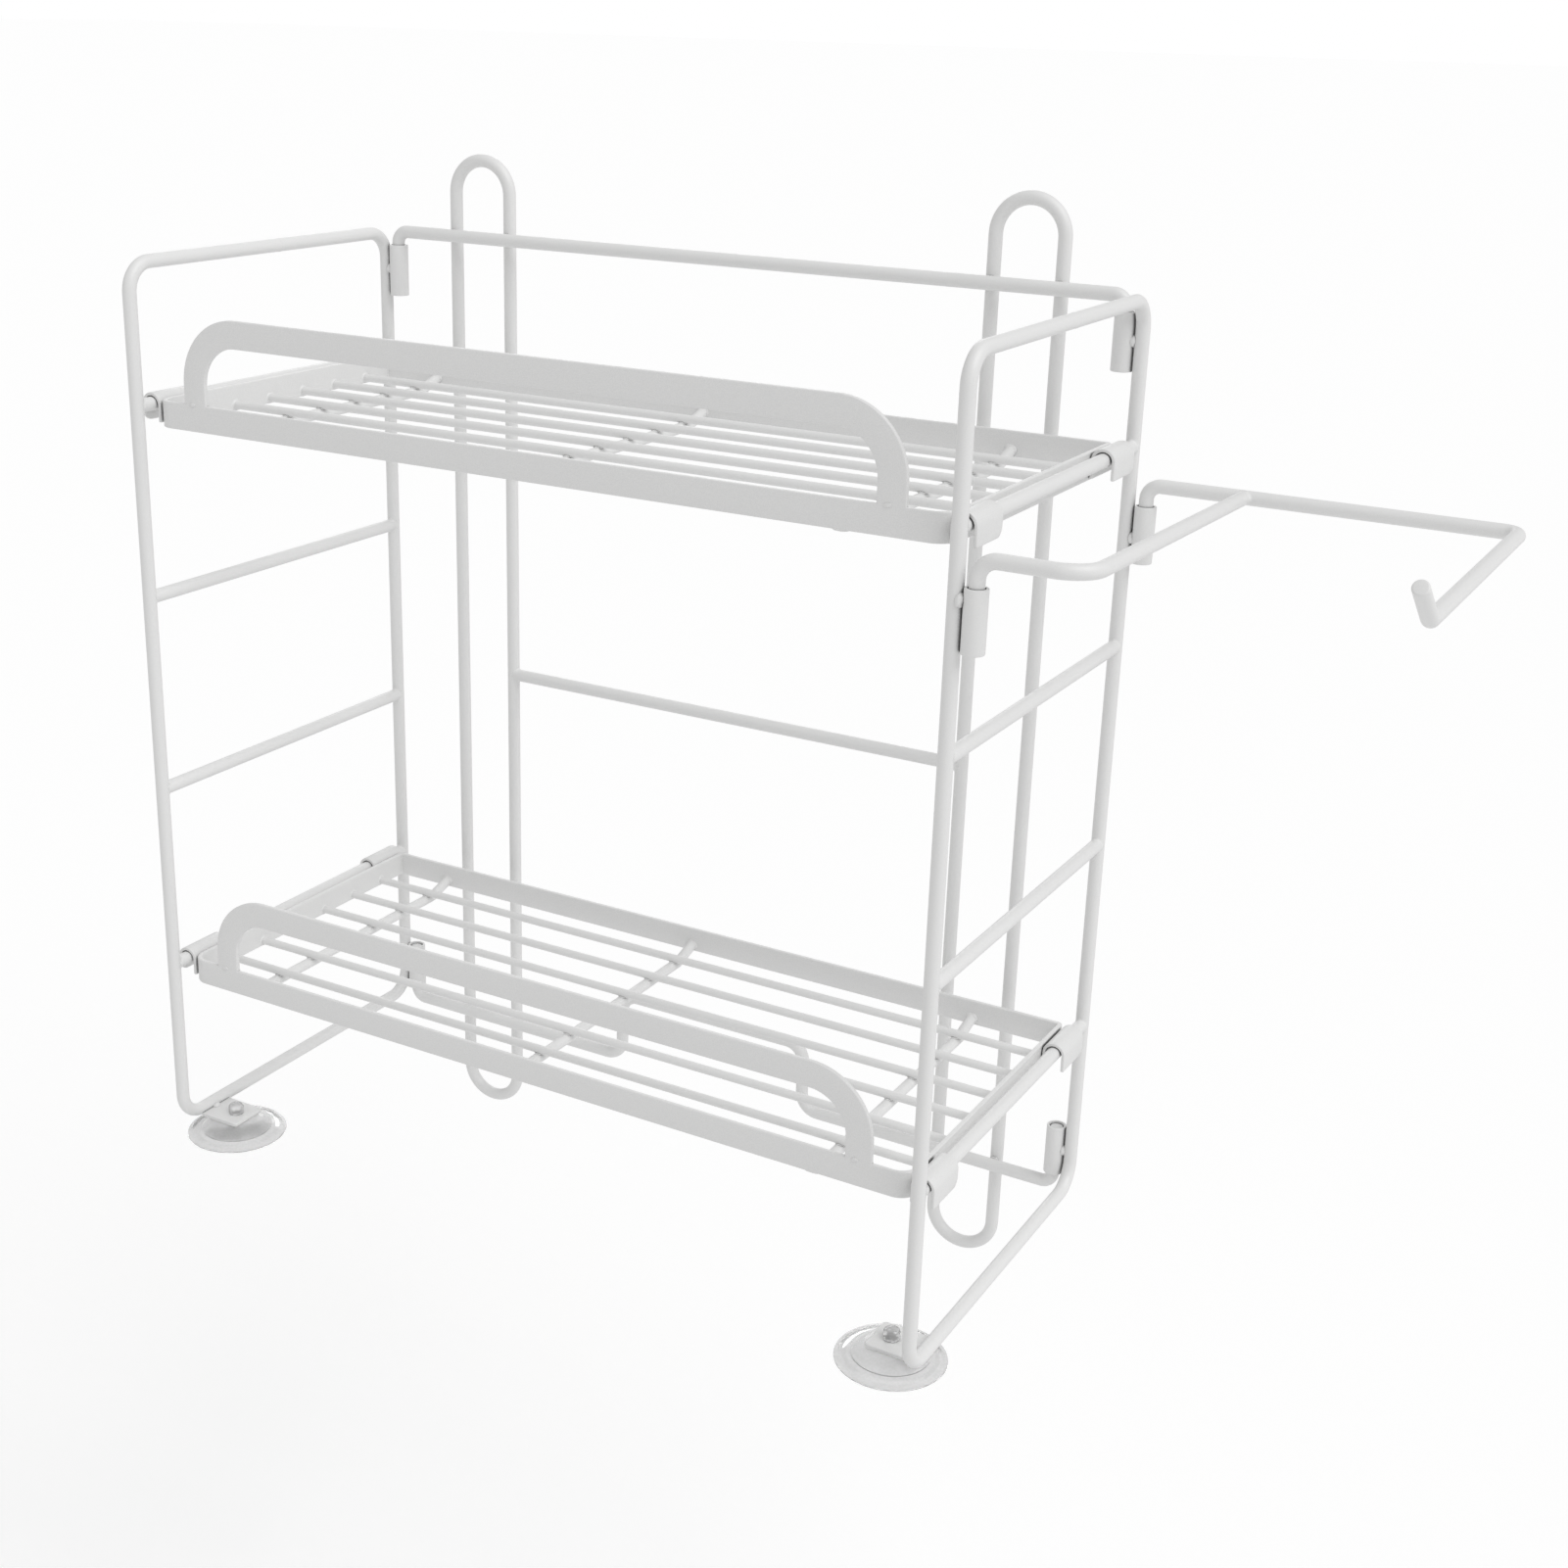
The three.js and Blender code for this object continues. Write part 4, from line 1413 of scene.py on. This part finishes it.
@dataclass(frozen=True)
class Studio:
    """Pale floor, white surroundings and soft lights."""

    paper_seen: Color = (0.99, 0.99, 0.99)
    paper_glow: Color = (0.79, 0.79, 0.79)
    paper_lift: float = 0.08
    paper_rough: float = 0.9
    floor_half: float = 40.0
    floor_drop: float = 300 * MM
    ambient: float = 0.58
    key_direction: Size3 = (0.62, -0.1, 0.78)
    key_strength: float = 1.28
    back_direction: Size3 = (-0.5, 0.8, 0.3)
    back_strength: float = 0.2
    key_spread: float = math.radians(50)
    back_spread: float = math.radians(25)

    def build(self) -> None:
        """Makes the floor, the surroundings and the lights."""
        self.build_floor()
        self.build_surroundings()
        self.build_light("key_light", self.key_direction, self.key_strength, self.key_spread)
        self.build_light("back_light", self.back_direction, self.back_strength, self.back_spread)
        bpy.context.scene.view_settings.view_transform = "Standard"
        LOG.info("studio ready")

    def build_floor(self) -> None:
        """Lays a wide floor well below the object, which hangs on a wall."""
        data = bpy.data.meshes.new("studio_floor")
        height = CAD_BOX[0].z - self.floor_drop
        half = self.floor_half
        spots = [(-half, -half, height), (half, -half, height), (half, half, height), (-half, half, height)]
        data.from_pydata(spots, [], [(0, 1, 2, 3)])
        floor = bpy.data.objects.new("studio_floor", data)
        bpy.context.scene.collection.objects.link(floor)
        material, shader, surface = new_material("studio_paper")
        tone = shader.blend(shader.seen(), (*self.paper_glow, 1), (*self.paper_seen, 1))
        feeds = {
            "Base Color": tone,
            "Roughness": self.paper_rough,
            "Specular IOR Level": 0.0,
            "Emission Color": WHITE,
            "Emission Strength": self.paper_lift,
        }
        shader.feed(surface, feeds)
        data.materials.append(material)
        floor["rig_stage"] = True

    def build_surroundings(self) -> None:
        """Sets an even white dome that is brighter to the eye than as a light."""
        world = bpy.data.worlds.new("studio_dome")
        world.use_nodes = True
        shader = ShaderTree(world.node_tree)
        light = world.node_tree.nodes["Background"]
        shader.feed(light, {"Color": WHITE, "Strength": self.ambient})
        paper = shader.add("ShaderNodeBackground", {"Color": WHITE})
        sources = {"Fac": shader.seen(), 1: light.outputs["Background"], 2: paper.outputs["Background"]}
        mix = shader.add("ShaderNodeMixShader", sources)
        shader.feed(world.node_tree.nodes["World Output"], {"Surface": mix.outputs["Shader"]})
        bpy.context.scene.world = world

    def build_light(self, name: str, direction: Size3, strength: float, spread: float) -> None:
        """Hangs a wide soft light, far off.

        Args:
            name: The light's name.
            direction: Where it hangs, seen from the object.
            strength: Its strength in watts per square metre.
            spread: How wide it looks from the object, as an angle.
        """
        data = bpy.data.lights.new(name, "SUN")
        data.energy = strength
        data.angle = spread
        lamp = bpy.data.objects.new(name, data)
        lamp.rotation_euler = (-Vector(direction)).to_track_quat("-Z", "Y").to_euler()
        bpy.context.scene.collection.objects.link(lamp)


@dataclass(frozen=True)
class PhotoCamera:
    """Camera at the photograph's viewpoint."""

    place: Size3 = (0.45308, -0.80543, 0.07324)
    bearing: float = math.radians(30.114)
    tilt: float = math.radians(19.597)
    roll: float = math.radians(1.232)
    focal_pixels: float = 2212.44
    centre_pixels: Point2 = (714.75, 783.09)
    frame_pixels: int = 1601
    sensor: float = 36.0
    near_clip: float = 0.01

    def build(self) -> None:
        """Makes the camera and takes it into use."""
        data = bpy.data.cameras.new("photo_camera")
        data.sensor_width = self.sensor
        data.lens = self.sensor * self.focal_pixels / self.frame_pixels
        half = self.frame_pixels / 2
        data.shift_x = (half - self.centre_pixels[0]) / self.frame_pixels
        data.shift_y = (self.centre_pixels[1] - half) / self.frame_pixels
        data.clip_start = self.near_clip
        camera = bpy.data.objects.new("photo_camera", data)
        level = math.cos(self.tilt)
        heading = (-math.sin(self.bearing) * level, math.cos(self.bearing) * level, -math.sin(self.tilt))
        facing = Vector(heading).to_track_quat("-Z", "Y").to_matrix()
        turned = (facing @ Matrix.Rotation(self.roll, 3, "Z")).to_4x4()
        camera.matrix_world = Matrix.Translation(Vector(self.place)) @ turned
        bpy.context.scene.collection.objects.link(camera)
        bpy.context.scene.camera = camera
        LOG.info("camera ready")


def write_sizes() -> None:
    """Works out the box of the solids and the box of the dressed model, without writing or keeping them.
    """
    boxes = {"cad": CAD_BOX, "visual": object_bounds()}
    {name: [list(corner) for corner in box] for name, box in boxes.items()}


def main() -> None:
    """Builds the camera, the shelf's sub-assemblies and the studio."""
    logging.basicConfig(level=logging.INFO, format="%(name)s: %(message)s")
    PhotoCamera().build()
    for side in Side:
        SideFrame(side).build()
    RearFrame().build()
    RollHolder().build()
    for tier in Tier:
        Shelf(tier).build()
    Studio().build()
    write_sizes()


if __name__ == "__main__":
    main()
